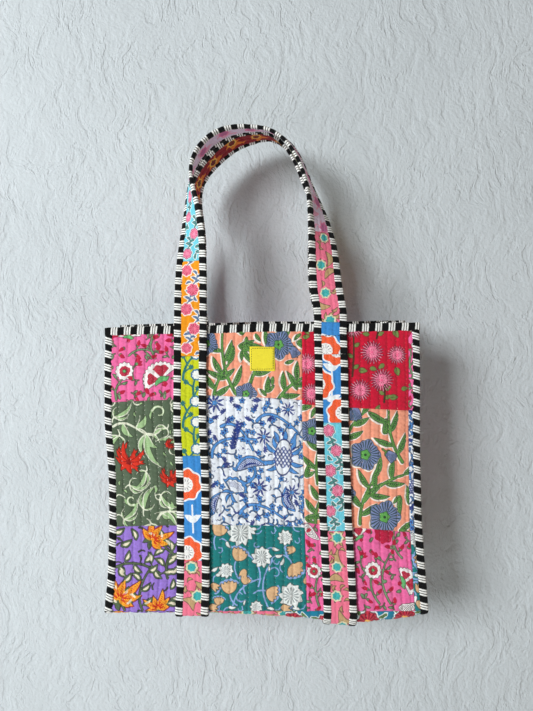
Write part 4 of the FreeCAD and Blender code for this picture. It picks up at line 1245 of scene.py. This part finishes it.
under = bag["binding"] - seamAllowance
seams = [-bag["halfWidthBase"] + under, *bottomPanel["seams"], bag["halfWidthBase"] - under]
for c, part in enumerate(("left", "centre", "right")):
    width, height = seams[c + 1] - seams[c], stripLength - 2 * panelLength
    t = np.linspace(panelLength, stripLength - panelLength, roundSteps(height, 1.5, 4))[:, None]
    x = np.linspace(seams[c], seams[c + 1], roundSteps(width, 1.5, 4))[None]
    x, t = x + 0 * t, t + 0 * x
    cloth, seed = bottomPanel["cloths"][c], 900 + c
    spots = spread(cloth, width, t.max() - t.min(), seed)
    addPatch(f"bottom_patch_{part}", cloth, bottomPanel["slots"][c], onStrip, x, t, x, t, 4, spots, seed)
print("bottom panel quilted")


def gussetSkin(side):
    return lambda w, drop, lift: gussetPoint(side, w, drop, lift)


hands = ((-1, "left"), (1, "right"))
for side, hand in hands:
    for r, row in enumerate(rowNames):
        low, high = [0.6, *gusset["rows"], panelLength + 12][r:r + 2]
        drop = np.linspace(low, high, roundSteps(high - low, 1.6, 2))[:, None]
        w = np.linspace(-gusset["past"], gusset["past"], roundSteps(gusset["flat"], 1.6, 2))[None] * side
        w, drop = w + 0 * drop, drop + 0 * w
        cloth = gusset["cloths"][side][r]
        spots = spread(cloth, gusset["flat"], high - low, 700 + r + side)
        addPatch(f"{hand}_gusset_patch_{row}", cloth, slots[cloth], gussetSkin(side), w, drop,
                 w * side * gusset["flatHalf"], drop, 2, spots, 700 + r)
print("gussets quilted")


def addLining(name, place, u, v, x, y):
    # The inner skin of a panel, quilted like the outside. It stands for its own node and the wadding's.
    row = x / quilting["rowGap"]
    off = (row - np.round(row)) * quilting["rowGap"]
    inside = quilting["backing"] - 0.5 + 0.4 * np.exp(-(off / 1.6) ** 2) - 0.21 * crumple(x, y, 5, 7, 15, 0.5)
    inner = place(u, v, inside)[:, ::-1]
    outer = place(u, v, np.full(u.shape, quilting["backing"] - 0.05))[:, ::-1]
    mesh = buildMesh(name, *closedSheet(inner, outer, 1), flatMap(x[:, ::-1], y[:, ::-1]))
    piece = addPiece(name, mesh, materials["lining"], "lining", [name, name.replace("lining", "wadding")])


x = np.linspace(-1, 1, 134)[None]
ends = [1.0, panelLength + 1, stripLength - panelLength - 1, stripLength - 1.0]
for face, start, end in zip(("front", "bottom", "back"), ends, ends[1:]):
    t = np.linspace(start, end, int((end - start) / 3) + 1)[:, None]
    across = x * (halfWidth(t) - 6)
    addLining(f"{face}_lining", onStrip, across, t + 0 * across, across, t + 0 * across)
for side, hand in hands:
    w = np.linspace(-1.18, 1.18, 61)[None] * side
    drop = np.linspace(1.0, panelLength + 8, 130)[:, None]
    w, drop = w + 0 * drop, drop + 0 * w
    addLining(f"{hand}_gusset_lining", gussetSkin(side), w, drop, w * side * gusset["flatHalf"], drop)
print("linings made")


def threadStitches(name, place, u, v, x, y, alongX=False, length=2.7, half=0.27, lift=None,
                   material="quiltThread", dye=None):
    # Small rounded bars of thread, one at each place. x and y are the middle of each on the flat cloth; u and v are
    # the surface parameters there, with their own scale.
    sides, perStitch = 5, 20
    station = np.array([-0.5, -0.3, 0.3, 0.5])[None, :, None]
    girth = np.array([0.25, 1.0, 1.0, 0.25])[None, :, None]
    angle = (np.arange(sides) / sides * 2 * pi)[None, None]
    slide = station * length + 0 * angle
    wide = half * girth * np.cos(angle)
    high = 0.75 * half * girth * np.sin(angle)
    du, dv = (slide, wide) if alongX else (wide, slide)
    surface = (quiltLift(x, y) if lift is None else lift) + 0.12
    points = place(u[:, None, None] + du, v[:, None, None] + dv, surface[:, None, None] + high)
    index = np.arange(len(u) * perStitch).reshape(len(u), perStitch // sides, sides)
    ahead = np.roll(index, -1, axis=2)
    quads = np.stack([index[:, :-1], ahead[:, :-1], ahead[:, 1:], index[:, 1:]], -1)
    if not alongX:
        quads = quads[..., ::-1]
    quads = quads.reshape(-1, 4)
    ends = []
    for ring, order in ((index[:, 0], 1), (index[:, -1], -1)):
        for a, b in ((1, 2), (2, 3), (3, 4)):
            ends.append(np.stack([ring[:, 0], ring[:, a], ring[:, b]][::order if alongX else -order], -1))
    uv = np.stack([np.broadcast_to(x[:, None, None] + du, points.shape[:-1]).ravel(),
                   np.broadcast_to(y[:, None, None] + dv, points.shape[:-1]).ravel()], 1)
    attributes = {} if dye is None else {"dye": np.repeat(dye, perStitch, axis=0)}
    mesh = buildMesh(name, points.reshape(-1, 3), quads, np.concatenate(ends), uv, attributes)
    return addPiece(name, mesh, materials[material], "thread")


def stitchRows(low, high, top, bottom):
    # The middle of every stitch of the rows inside these limits, row after row a little later.
    rows = np.arange(np.ceil((low + 3) / quilting["rowGap"]), np.floor((high - 3) / quilting["rowGap"]) + 1)
    gap = quilting["stitchGap"]
    count = np.arange(np.ceil((top + 2) / gap), np.floor((bottom - 2) / gap))
    row, count = np.meshgrid(rows, count)
    y = ((count + 0.5) * gap - row * quilting["rowPhase"] / (2 * pi) * gap % gap).ravel()
    x = (row * quilting["rowGap"]).ravel()
    x = x - rowWander(x, y)
    keep = (y > top + 2) & (y < bottom - 2)
    return x[keep], y[keep]


# How much of its own pale colour the thread keeps over each cloth.
threadShare = {"olive": 0.9, "blueWhite": 0.5, "teal": 0.4, "crimson": 0.12, "pink": 0.3, "lilac": 0.4,
               "peach": 0.45}


def threadOver(cloth):
    pale, ground = np.array(shade(240, 234, 222)[:3]), np.array(shade(*prints[cloth]["ground"])[:3])
    share = threadShare.get(cloth, 0.4)
    return ground * (1 - share) * 0.85 + pale * share


def dyed(panel, x, y):
    # The thread's colour over the patch each stitch lies on.
    colours = np.zeros((len(x), 3))
    for c, name in enumerate(columnNames):
        inColumn = (np.searchsorted(panel["columns"], x) == c)
        rows = [np.mean(r) for r in panel["rows"][name]]
        for r in range(3):
            colours[inColumn & (np.searchsorted(rows, y) == r)] = threadOver(panel["cloths"][name][r])
    return colours


reach = bag["halfWidthTop"] - bag["binding"] - 1
x, y = stitchRows(-reach, reach, bag["binding"] + 1, panelLength)
threadStitches("front_quilting_stitches", onStrip, x, y, x, y, dye=dyed(front, x, y))
threadStitches("back_quilting_stitches", lambda u, v, lift: onStrip(-u, stripLength - v, lift), x, y, x, y,
               dye=dyed(back, -x, y))
x, y = stitchRows(-reach, reach, panelLength, stripLength - panelLength)
dye = np.array([threadOver(bottomPanel["cloths"][i]) for i in np.searchsorted(bottomPanel["seams"], x)])
threadStitches("bottom_quilting_stitches", onStrip, x, y, x, y, dye=dye)
for side, hand in hands:
    x, y = stitchRows(-50, 50, bag["binding"] + 1, panelLength)
    dye = np.array([threadOver(gusset["cloths"][side][i]) for i in np.searchsorted(gusset["rows"], y)])
    flatSkin = lambda u, v, lift: gussetPoint(side, u / gusset["flatHalf"] * side, v, lift)
    threadStitches(f"{hand}_gusset_stitches", flatSkin, x, y, x, y, dye=dye)
print("stitches sewn")


def section(width, thick, sides=22):
    # A flattened loop, rounder at its ends than an ellipse's.
    angle = np.arange(sides) / sides * 2 * pi
    u, v = np.cos(angle), np.sin(angle)
    return width / 2 * np.sign(u) * np.abs(u) ** 0.62, thick / 2 * np.sign(v) * np.abs(v) ** 0.7, angle


def tube(name, points, across, out, width, thick, material, slot, nodes=(), seed=1, **where):
    # The loop carried along the path. Each end is closed. Its map runs along the tape and across it.
    u, v, angle = section(width, thick)
    along = lengthAlong(points)
    wobble = 1 + 0.07 * crumple(angle[None] * 2, along[:, None], seed, 7, 18, 0.4)
    ring = points[:, None] + across[:, None] * (u * (1 + (wobble - 1) * 0.4))[..., None]
    ring = ring + out[:, None] * (v * wobble)[..., None]
    rows, cols = ring.shape[:2]
    index = np.arange(rows * cols).reshape(rows, cols)
    ahead = np.roll(index, -1, axis=1)
    quads = np.stack([index[:-1], ahead[:-1], ahead[1:], index[1:]], -1).reshape(-1, 4)
    middles = rows * cols + np.arange(2)
    first = np.stack([np.full(cols, middles[0]), ahead[0], index[0]], -1)
    last = np.stack([np.full(cols, middles[1]), index[-1], ahead[-1]], -1)
    every = np.concatenate([ring.reshape(-1, 3), points[:1], points[-1:]])
    uv = np.stack([part.ravel() for part in np.broadcast_arrays(u[None], along[:, None])], 1)
    uv = np.concatenate([uv, [[0, along[0]], [0, along[-1]]]])
    handed = np.einsum("ij,ij->i", np.cross(across[:-1], out[:-1]), np.diff(points, axis=0)).mean()
    if handed < 0:
        quads, first, last = quads[:, ::-1], first[:, ::-1], last[:, ::-1]
    mesh = buildMesh(name, every, quads, np.concatenate([first, last]), uv)
    return addPiece(name, mesh, material, slot, nodes, **where)


# The tape over the side seams and the mouth: how thick it is, and how its middle lies to the cloth's surface.
binding = {"thick": 4.8, "seamThick": 7.4, "step": 1.5, "seamLift": -2.7, "topAt": 4.6, "topLift": -1.3}


def stripRibbon(xs, ts, lift):
    # A path on the strip, with the direction across it and outwards.
    points = onStrip(xs, ts, np.full(np.shape(xs), lift))
    out = unit(onStrip(xs, ts, np.full(np.shape(xs), lift + 1.0)) - points)
    tangent = unit(np.gradient(points, axis=0))
    return points, unit(np.cross(tangent, out)), out


for side, hand in hands:
    t = np.arange(5, stripLength - 5, binding["step"])
    xs = side * (halfWidth(t) - bag["binding"] / 2)
    points, across, out = stripRibbon(xs, t, binding["seamLift"])
    tube(f"{hand}_seam_binding", points, across, out, bag["binding"] + 0.4, binding["seamThick"],
         materials["seamBinding"],
         "binding", [f"{hand}_seam_binding"], seed=20 + side)

edges = []
for side in (-1, 1):                          # front and back edges, then the two folded ends
    xs = np.arange(-bag["halfWidthTop"] - 0.4, bag["halfWidthTop"] + 0.5, binding["step"])
    t = np.full(len(xs), binding["topAt"] if side < 0 else stripLength - binding["topAt"])
    edges.append((stripRibbon(xs, t, binding["topLift"]), 30 + side))
for side in (-1, 1):
    w = np.linspace(-1.24, 1.24, 90)
    drop = np.full(len(w), binding["topAt"])
    points = gussetPoint(side, w, drop, np.full(len(w), binding["topLift"]))
    out = unit(gussetPoint(side, w, drop, np.full(len(w), 0.0)) - points)
    tangent = unit(np.gradient(points, axis=0))
    edges.append(((points, unit(np.cross(tangent, out)), out), 40 + side))
parts = []
for i, (edge, seed) in enumerate(edges):
    width, thick = bag["binding"] + 0.8, binding["thick"]
    parts.append(tube(f"top_binding_{i}", *edge, width, thick, materials["binding"], "binding", seed=seed))


def joinPieces(name, parts):
    # Several closed meshes become one piece, for the node of that name.
    first = parts[0]
    with bpy.context.temp_override(active_object=first, object=first, selected_objects=parts,
                                   selected_editable_objects=parts):
        bpy.ops.object.join()
    first.name = first.data.name = name
    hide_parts(name)


joinPieces("top_binding", parts)
print("bindings sewn")

strap = {
    "bandHalf": 13.6, "bindingAt": 16.0, "bindingThick": 4.8, "lift": 2.3,
    "meets": 38.7,      # the handles start this far below the top edge
    # the middle of the left and the right strap, in front and behind
    "centre": {-1: through([0, 361], [-92, -94], 3), 1: through([0, 361], [87, 93], 3)},
    "centreBehind": {-1: through([0, 361], [-96, -94], 3), 1: through([0, 361], [92, 93], 3)},
}


def strapMiddle(side, t):
    # Across the strip, at t along it.
    return np.where(t < stripLength / 2, strap["centre"][side](t),
                    strap["centreBehind"][side](stripLength - t))


# Cuts down each front strap, as distance below the top edge, and the cloth of each run.
runs = {
    -1: {"cuts": [strap["meets"], 164.7, 296.0, stripLength / 2 + 20], "cloths": ["lime", "blue", "salmon"],
         "behind": [stripLength - 210, stripLength - strap["meets"]], "behindCloths": ["aqua", "orange"]},
    1: {"cuts": [strap["meets"], 125.0, 260.0, stripLength / 2 + 10], "cloths": ["blue", "aqua", "salmon"],
        "behind": [stripLength - 200, stripLength - strap["meets"]], "behindCloths": ["lime", "blue"]},
}


# Large flowers on the blue cloth: across and along each length.
blueFlowers = {
    "left_strap_band_2": [(5, 36), (6, 121)], "front_handle_band_5": [(21, 36)],
    "right_strap_band_1": [(21, -5), (-4, 38), (27, 74)],
}


def bandLift(u, s):
    # The band is padded, with a groove down its middle stitching and small puckers.
    lift = 0.5 * np.cos(np.clip(u / strap["bandHalf"], -1, 1) * pi / 2) ** 0.6
    for row in (-4.5, 4.5):
        off = u - row - 0.5 * np.sin(s / 33)
        lift = lift - 0.6 * np.exp(-(off / 1.3) ** 2)
        lift = lift + 0.25 * np.cos(2 * pi * s / 5.2 + row) * np.exp(-(off / 2.2) ** 2)
    return lift + 0.16 * crumple(u, s, 8, 5, 11, 0.6)


def bandSpots(name, cloth, length, dice):
    # Where a band's motifs go: kind, place, size and angle.
    if cloth == "lime":
        heights = np.arange(30, length + 30, 30)
        return [("", 5 + 17 * (i % 2), y, 36, -76 - 26 * (i % 2)) for i, y in enumerate(heights)]
    if cloth == "blue":
        heights = np.arange(20, length + 20, 70)
        places = blueFlowers.get(name, [((22, 4)[i % 2], y) for i, y in enumerate(heights)])
        return [("", x, y, 18.5, 0.2) for x, y in places]
    if cloth in ("salmon", "lavender", "wine"):
        return [(("fruit", "curl")[i % 2], dice.uniform(7, 20), y, dice.uniform(9, 10.5),
                 dice.uniform(0, 360))
                for i, y in enumerate(np.arange(8, length, 18))]
    return [("", 8 + 10 * (i % 2) + dice.uniform(-2, 2), y, dice.uniform(6.0, 7.0), dice.uniform(0, 6))
            for i, y in enumerate(np.arange(10, length, 25))]


def ribbonPiece(name, place, low, high, cloth, top, bottom, seed, nodes=(), **where):
    # A length of the band: place(u, s, lift) is the strap's surface, s its length.
    s = np.linspace(low, high, roundSteps(high - low, 1.05, 2))[:, None]
    u = np.linspace(-strap["bandHalf"], strap["bandHalf"], 27)[None]
    u, s = u + 0 * s, s + 0 * u
    ends = np.exp(-(np.minimum(s - low, high - s) / 1.2) ** 2)
    sign = 1 if top > bottom else -1
    face = place(u, s, top + sign * (bandLift(u, s) - 0.7 * ends))
    back = place(u[::2, ::2], s[::2, ::2], np.full(u[::2, ::2].shape, float(bottom)))
    if sign < 0:
        face, back = face[:, ::-1], back[:, ::-1]
        u = u[:, ::-1]
    points, quads, triangles = closedSheet(face, back, 2)
    art = newArt(u + strap["bandHalf"], s - low)
    prints[cloth]["draw"](art, bandSpots(name, cloth, high - low, np.random.default_rng(seed)), seed)
    mesh = buildMesh(name, points, quads, triangles, flatMap(u, s, 2), printed(art, back[..., 0].size))
    return addPiece(name, mesh, materials[cloth], "strap_print", nodes, **where)


def runPlace(side):
    # The surface a strap lies on.
    return lambda u, s, lift: onStrip(strapMiddle(side, s) + u, s, lift)


for side, hand in hands:
    run = runs[side]
    cuts = [*run["cuts"], *run["behind"]]
    for i, cloth in enumerate([*run["cloths"], *run["behindCloths"]]):
        ribbonPiece(f"{hand}_strap_band_{i + 1}", runPlace(side), cuts[i], cuts[i + 1], cloth, 3.4, 0.6,
                    60 + i + side,
                    [f"{hand}_strap_band"] if i == 0 else ())
    for edge, way in (("inner", -side), ("outer", side)):
        t = np.arange(strap["meets"], stripLength - strap["meets"] + 0.1, binding["step"])
        xs = strapMiddle(side, t) + way * strap["bindingAt"]
        points, across, out = stripRibbon(xs, t, strap["lift"])
        tube(f"{hand}_strap_{edge}_binding", points, across, out, bag["binding"], strap["bindingThick"],
             materials["binding"],
             "binding", [f"{hand}_strap_{edge}_binding"], seed=50 + side * 3 + way)
print("straps sewn")


handle = {
    # share of the half spacing, share of the drop, and how far the front and the back strip have turned
    "arch": [(-1, 1, 0, 0), (-1, .88, 0, 0), (-1, .70, 12, 10), (-1, .52, 36, 36), (-1.03, .37, 60, 62),
             (-1.05, .26, 80, 76),
             (-1, .178, 91, 80), (-.87, .106, 95, 79), (-.68, .050, 93, 78), (-.43, .016, 85, 79),
             (-.15, .006, 76, 88),
             (.10, .014, 72, 99), (.32, .055, 70, 107), (.50, .130, 72, 109), (.63, .230, 76, 106),
             (.75, .350, 64, 92),
             (.84, .480, 40, 60), (.90, .630, 18, 30), (.95, .790, 4, 8), (1, .900, 0, 0), (1, 1, 0, 0)],
    # how far the back strap sits from the front one's line, across and up, over the same points
    "behind": [(0, 0), (-5, 0), (-8, 0), (-6, 0), (-3, 0), (0, 0), (3, 0), (5, -1), (6, 1), (4, 5), (0, 8),
               (0, 11),
               (2, 9), (3, 6), (3, 3), (2, 1), (1, 0), (1, 0), (2, 0), (2, 0), (0, 0)],
    "half": 90.0, "footZ": -271.8, "crownZ": 2.1, "footOut": 42.0, "crownOut": 23.0,
    "lean": 0.048, "straight": 19.8, "rise": 272.0,
    "footKnots": (strap["meets"], 29.0, 22.0),      # points on the panel, as distance below its top edge
    "hinge": ((0, 0, -0.280), (0, 0, -0.262)),
    "leftCuts": (-176, -70), "rightCuts": (-137.5, -254.6),     # heights of the seams between the cloths
    "cloths": {-1: ("orange", "aqua", "lavender", "salmon", "blue"),
               1: ("aqua", "salmon", "lime", "orange", "blue")},
    "underside": {-1: "lavender", 1: "wine"},
}


def cubicThrough(knots, count):
    # A natural cubic through the knots, by the chord between them; then points at equal distances along it.
    chord = lengthAlong(knots)
    n, gap = len(knots), np.diff(chord)
    system, right = np.eye(n), np.zeros((n, 3))
    for i in range(1, n - 1):
        system[i, i - 1:i + 2] = gap[i - 1], 2 * (gap[i - 1] + gap[i]), gap[i]
        right[i] = 6 * ((knots[i + 1] - knots[i]) / gap[i] - (knots[i] - knots[i - 1]) / gap[i - 1])
    second = np.linalg.solve(system, right)

    def pointsAt(at):
        i = np.clip(np.searchsorted(chord, at, side="right") - 1, 0, n - 2)
        a, h = ((at - chord[i]) / gap[i])[:, None], gap[i][:, None]
        b = 1 - a
        curve = (b ** 3 - b) * second[i] + (a ** 3 - a) * second[i + 1]
        return b * knots[i] + a * knots[i + 1] + h ** 2 / 6 * curve

    fine = 4000
    at = np.linspace(0, chord[-1], fine)
    for steps in (fine, count):
        length = lengthAlong(pointsAt(at))
        at = np.interp(np.linspace(0, length[-1], steps), length, at)
    return pointsAt(at)


def handleLine(sign):
    # Up the left strap from the panel, over the hook and down the right. The strip turns through a quarter turn as
    # it rises, so that it lies flat across the hook. sign is -1 in front, 1 behind.
    h, centre = handle, strap["centre"] if sign < 0 else strap["centreBehind"]

    def footKnot(side, t):
        return onStrip(centre[side](t), t if sign < 0 else stripLength - t, np.array(strap["lift"]))

    knots = [footKnot(-1, t) for t in h["footKnots"]]
    for (xShare, depthShare, *_), (aside, up) in zip(h["arch"], h["behind"]):
        z = h["crownZ"] - (h["crownZ"] - h["footZ"]) * depthShare
        height = z - h["footZ"]
        rise = max(0.0, height - h["straight"]) / (h["rise"] - h["straight"])
        out = h["footOut"] - h["lean"] * min(height, h["straight"])
        out += (h["crownOut"] - out) * rise * rise * (3 - 2 * rise)
        drift = centre[-1](0) + h["half"] if xShare < 0 else centre[1](0) - h["half"]
        drift = drift * min(1, max(0, depthShare - 0.3) * 2)
        back = 1 if sign > 0 else 0
        knots.append(np.array([h["half"] * xShare + drift + back * aside, sign * out, z + back * up]))
    knots = np.array(knots + [footKnot(1, t) for t in reversed(h["footKnots"])])
    points = cubicThrough(knots, 620)
    along = unit(np.gradient(points, axis=0))
    upward = unit(np.cross(along, [0, 1, 0]))
    facing = unit(np.cross(upward, along)) * sign
    turns = np.radians([0, 0, 0, *(a[2 if sign < 0 else 3] for a in h["arch"]), 0, 0, 0])
    at = [np.argmin(np.linalg.norm(points - knot, axis=1)) for knot in knots]
    angle = np.interp(np.arange(len(points)), at, turns)
    angle = np.convolve(np.pad(angle, 20, mode="edge"), np.ones(41) / 41, mode="valid")[:, None]
    out = facing * np.cos(angle) + upward * np.sin(angle)
    return points, unit(np.cross(along, out)), out


def carried(line):
    # Turns a path into a surface: place(u, s, lift), with s the distance along it.
    length = lengthAlong(line[0])

    def place(u, s, lift):
        at = [np.stack([np.interp(s, length, part[:, k]) for k in range(3)], -1) for part in line]
        return at[0] + np.asarray(u)[..., None] * at[1] + np.asarray(lift)[..., None] * at[2]
    return place, length


for sign, face in ((-1, "front"), (1, "back")):
    line = handleLine(sign)
    place, length = carried(line)
    points = line[0]
    total, top = length[-1], int(np.argmax(points[:, 2]))
    body, hinge = f"{face}_handle", handle["hinge"]
    left = [float(length[np.argmin(np.abs(points[:top, 2] - z))]) for z in handle["leftCuts"]]
    right = [float(length[top + np.argmin(np.abs(points[top:, 2] - z))]) for z in handle["rightCuts"]]
    cuts, outside = [0.0, *left, *right, total], handle["cloths"][sign]
    for i, cloth in enumerate(outside):
        crossing = i in (0, len(outside) - 1)
        ribbonPiece(f"{face}_handle_band_{i + 1}", place, cuts[i], cuts[i + 1], cloth, 1.4, 0.05, 80 + i,
                    [f"{face}_handle_band"] if i == 1 else (), body=body, hinge=hinge if crossing else None)
    ribbonPiece(f"{face}_handle_underside", place, 14.0, total - 14.0, handle["underside"][sign], -1.4,
                -0.05, 95,
                body=body, hinge=hinge)
    for edge, way in (("inner", -sign), ("outer", sign)):
        shifted = points + line[1] * way * strap["bindingAt"]
        tube(f"{face}_handle_{edge}_binding", shifted, line[1], line[2], bag["binding"],
             strap["bindingThick"], materials["binding"],
             "binding", [f"{face}_handle_{edge}_binding"], seed=70 + way, body=body, hinge=hinge)
print("handles made")


def onPanel(sign):
    # The front or the back panel, by distance below its top edge.
    return lambda u, v, lift: onStrip(u, v if sign < 0 else stripLength - v, lift)


tacks = []
for sign in (-1, 1):
    for side in (-1, 1):
        u = np.arange(-18, 18.1, 4.0)
        centre = float(strap["centre" if sign < 0 else "centreBehind"][side](bag["tack"]))
        x, y = centre + u, np.full(len(u), bag["tack"] + 0.3) + 0.5 * np.sin(u)
        lift = np.where(np.abs(u) > 11, 4.9, 4.1) + 0.2
        tacks.append(threadStitches(f"tack_{sign}_{side}", onPanel(sign), x, y, x, y, True, 3.2, 0.5, lift,
                                    "darkThread"))
joinPieces("tacking_threads", tacks)

low, high = nodeSpan("blank_label")
label = {"x": (low[0] + high[0]) / 2, "t": bag["hem"] - (low[2] + high[2]) / 2, "width": high[0] - low[0],
         "height": high[2] - low[2], "lift": 1.2}
q = np.linspace(-0.5, 0.5, 33)[:, None]
p = np.linspace(-0.5, 0.5, 33)[None]
x = label["x"] + p * label["width"] + 0.4 * np.sin(q * 5)
y = label["t"] + q * label["height"] + 0.5 * np.sin(p * 4)
edge = 32 * (0.5 - np.maximum(np.abs(p), np.abs(q)))
lift = label["lift"] - 0.7 * np.exp(-(edge / 1.2) ** 2) - 0.3 * np.exp(-((edge - 2.2) / 0.7) ** 2)
lift = lift + 0.12 * crumple(x, y, 4, 8, 16, 1)
under = onStrip(x[::4, ::4], y[::4, ::4], np.full((9, 9), 0.1))
mesh = buildMesh("blank_label", *closedSheet(onStrip(x, y, lift), under, 4), flatMap(x, y, 4))
addPiece("blank_label", mesh, materials["label"], "label", ["blank_label"])
border = (np.arange(0, 1, 1 / 9) - 0.5 + 1 / 18) * (label["width"] - 5)
for name, alongX in (("across", True), ("down", False)):
    x = np.concatenate([border, border]) if alongX else np.repeat([-1, 1], 9) * (label["width"] - 4.4) / 2
    y = np.repeat([-1, 1], 9) * (label["height"] - 4.4) / 2 if alongX else np.concatenate([border, border])
    threadStitches(f"label_stitches_{name}", onStrip, x + label["x"], y + label["t"], x, y, alongX, 2.4,
                   0.3,
                   np.full(18, label["lift"] - 0.2), "darkThread")
print("label sewn")


def wallMaterial():
    # Trowelled plaster. It lets light and sight through from behind.
    material, tree = startMaterial("pale_plaster")
    place = addNode(tree, "TexCoord").outputs["Object"]
    wander = addNode(tree, "TexNoise", {"Vector": place, "Scale": 9.0, "Detail": 2.0}).outputs["Color"]
    wander = addNode(tree, "VectorMath", {0: wander, "Scale": 0.09}, operation="SCALE").outputs[0]
    bent = addNode(tree, "VectorMath", {0: place, 1: wander}, operation="ADD").outputs[0]
    turned = {"Vector": bent, "Rotation": (0, radians(24), 0), "Scale": (1.0, 1.0, 0.42)}
    drawn = addNode(tree, "Mapping", turned).outputs[0]
    strokes = noise(tree, drawn, 3.0, 0.6, scale=62.0)
    broad, where = noise(tree, place, 3.0, scale=5.0), noise(tree, place, 2.0, scale=17.0)
    ridges = soften(tree, maths(tree, "ABSOLUTE", maths(tree, "SUBTRACT", strokes, 0.5)), 0.0, 0.07, 1.0,
                    0.0)
    ridges = maths(tree, "MULTIPLY", ridges, soften(tree, where, 0.38, 0.6, 0.25, 1.0))
    dents = noise(tree, place, 2.0, scale=210.0)
    relief = maths(tree, "MULTIPLY_ADD", ridges, 0.13, maths(tree, "MULTIPLY_ADD", strokes, 1.0, broad))
    relief = maths(tree, "MULTIPLY_ADD", dents, 0.32, relief)
    bump = addNode(tree, "Bump", {"Height": relief, "Distance": 0.004, "Strength": 0.9}).outputs[0]
    colour = tint(tree, soften(tree, broad, 0.3, 0.7), shade(211, 217, 221), shade(216, 222, 226))
    dull = {"Base Color": colour, "Roughness": 0.95, "Specular IOR Level": 0.1, "Normal": bump}
    shader = addNode(tree, "BsdfPrincipled", dull).outputs[0]
    clear = addNode(tree, "BsdfTransparent").outputs[0]
    fromBehind = addNode(tree, "NewGeometry").outputs["Backfacing"]
    behind = maths(tree, "MAXIMUM", fromBehind, addNode(tree, "LightPath").outputs["Is Shadow Ray"])
    both = addNode(tree, "MixShader", {0: behind, 1: shader, 2: clear})
    addNode(tree, "OutputMaterial", {0: both.outputs[0]})
    return material


def stagePlane(name, corners, material):
    mesh = bpy.data.meshes.new(name)
    mesh.from_pydata(corners, [], [(0, 1, 2, 3)])
    piece = bpy.data.objects.new(name, mesh)
    mesh.materials.append(material)
    bpy.context.scene.collection.objects.link(piece)
    return piece


wallAt, floorAt = 0.085, -1.25
plaster = wallMaterial()
stagePlane("plaster_wall", [(-4, wallAt, floorAt), (4, wallAt, floorAt), (4, wallAt, 3), (-4, wallAt, 3)],
           plaster)
floorMaterial, tree = startMaterial("pale_floor")
floorShader = addNode(tree, "BsdfPrincipled", {"Base Color": shade(222, 222, 220),
                                               "Roughness": 0.9}).outputs[0]
addNode(tree, "OutputMaterial", {0: floorShader})
stagePlane("floor", [(-4, -4, floorAt), (4, -4, floorAt), (4, 4, floorAt), (-4, 4, floorAt)], floorMaterial)

world = bpy.data.worlds.new("soft_room")
bpy.context.scene.world = world
world.use_nodes = True
# The room gives a little warm light and looks pale itself.
dim = world.node_tree.nodes["Background"]
dim.inputs[0].default_value = (1.0, 0.76, 0.54, 1)
dim.inputs[1].default_value = 0.07
pale = addNode(world.node_tree, "Background", {0: (0.62, 0.63, 0.63, 1), 1: 1.0})
ray = addNode(world.node_tree, "LightPath").outputs
direct = maths(world.node_tree, "MAXIMUM", ray["Is Camera Ray"], ray["Is Glossy Ray"])
direct = maths(world.node_tree, "MAXIMUM", direct, ray["Is Transmission Ray"])
seen = addNode(world.node_tree, "MixShader", {0: direct, 1: dim.outputs[0], 2: pale.outputs[0]})
world.node_tree.links.new(seen.outputs[0], world.node_tree.nodes["World Output"].inputs[0])


def addLamp(name, power, size, place, target, colour):
    lamp = bpy.data.lights.new(name, "AREA")
    lamp.energy, lamp.size, lamp.color = power, size, colour
    item = bpy.data.objects.new(name, lamp)
    item.location = place
    item.rotation_euler = (Vector(target) - Vector(place)).to_track_quat("-Z", "Y").to_euler()
    bpy.context.scene.collection.objects.link(item)


addLamp("window_light", 94, 1.2, (-1.965, -2.43, 0.345), (0.02, 0, -0.33), (0.94, 0.985, 1.0))
addLamp("light_behind", 22, 1.4, (1.0, 2.2, 0.4), (0, 0, -0.4), (1.0, 0.94, 0.86))
addLamp("light_beside", 5, 0.6, (2.3, -0.10, -0.3), (0, 0, -0.45), (1.0, 0.84, 0.68))

camera = bpy.data.objects.new("camera", bpy.data.cameras.new("camera"))
camera.data.sensor_width, camera.data.lens = 36, 26.98
camera.location = (0.0053, -0.723, -0.297)
camera.rotation_euler = (pi / 2, 0, 0)
camera.data.clip_start = 0.05
bpy.context.scene.collection.objects.link(camera)
bpy.context.scene.camera = camera
bpy.context.scene.view_settings.view_transform = "Standard"

print("ready to render")
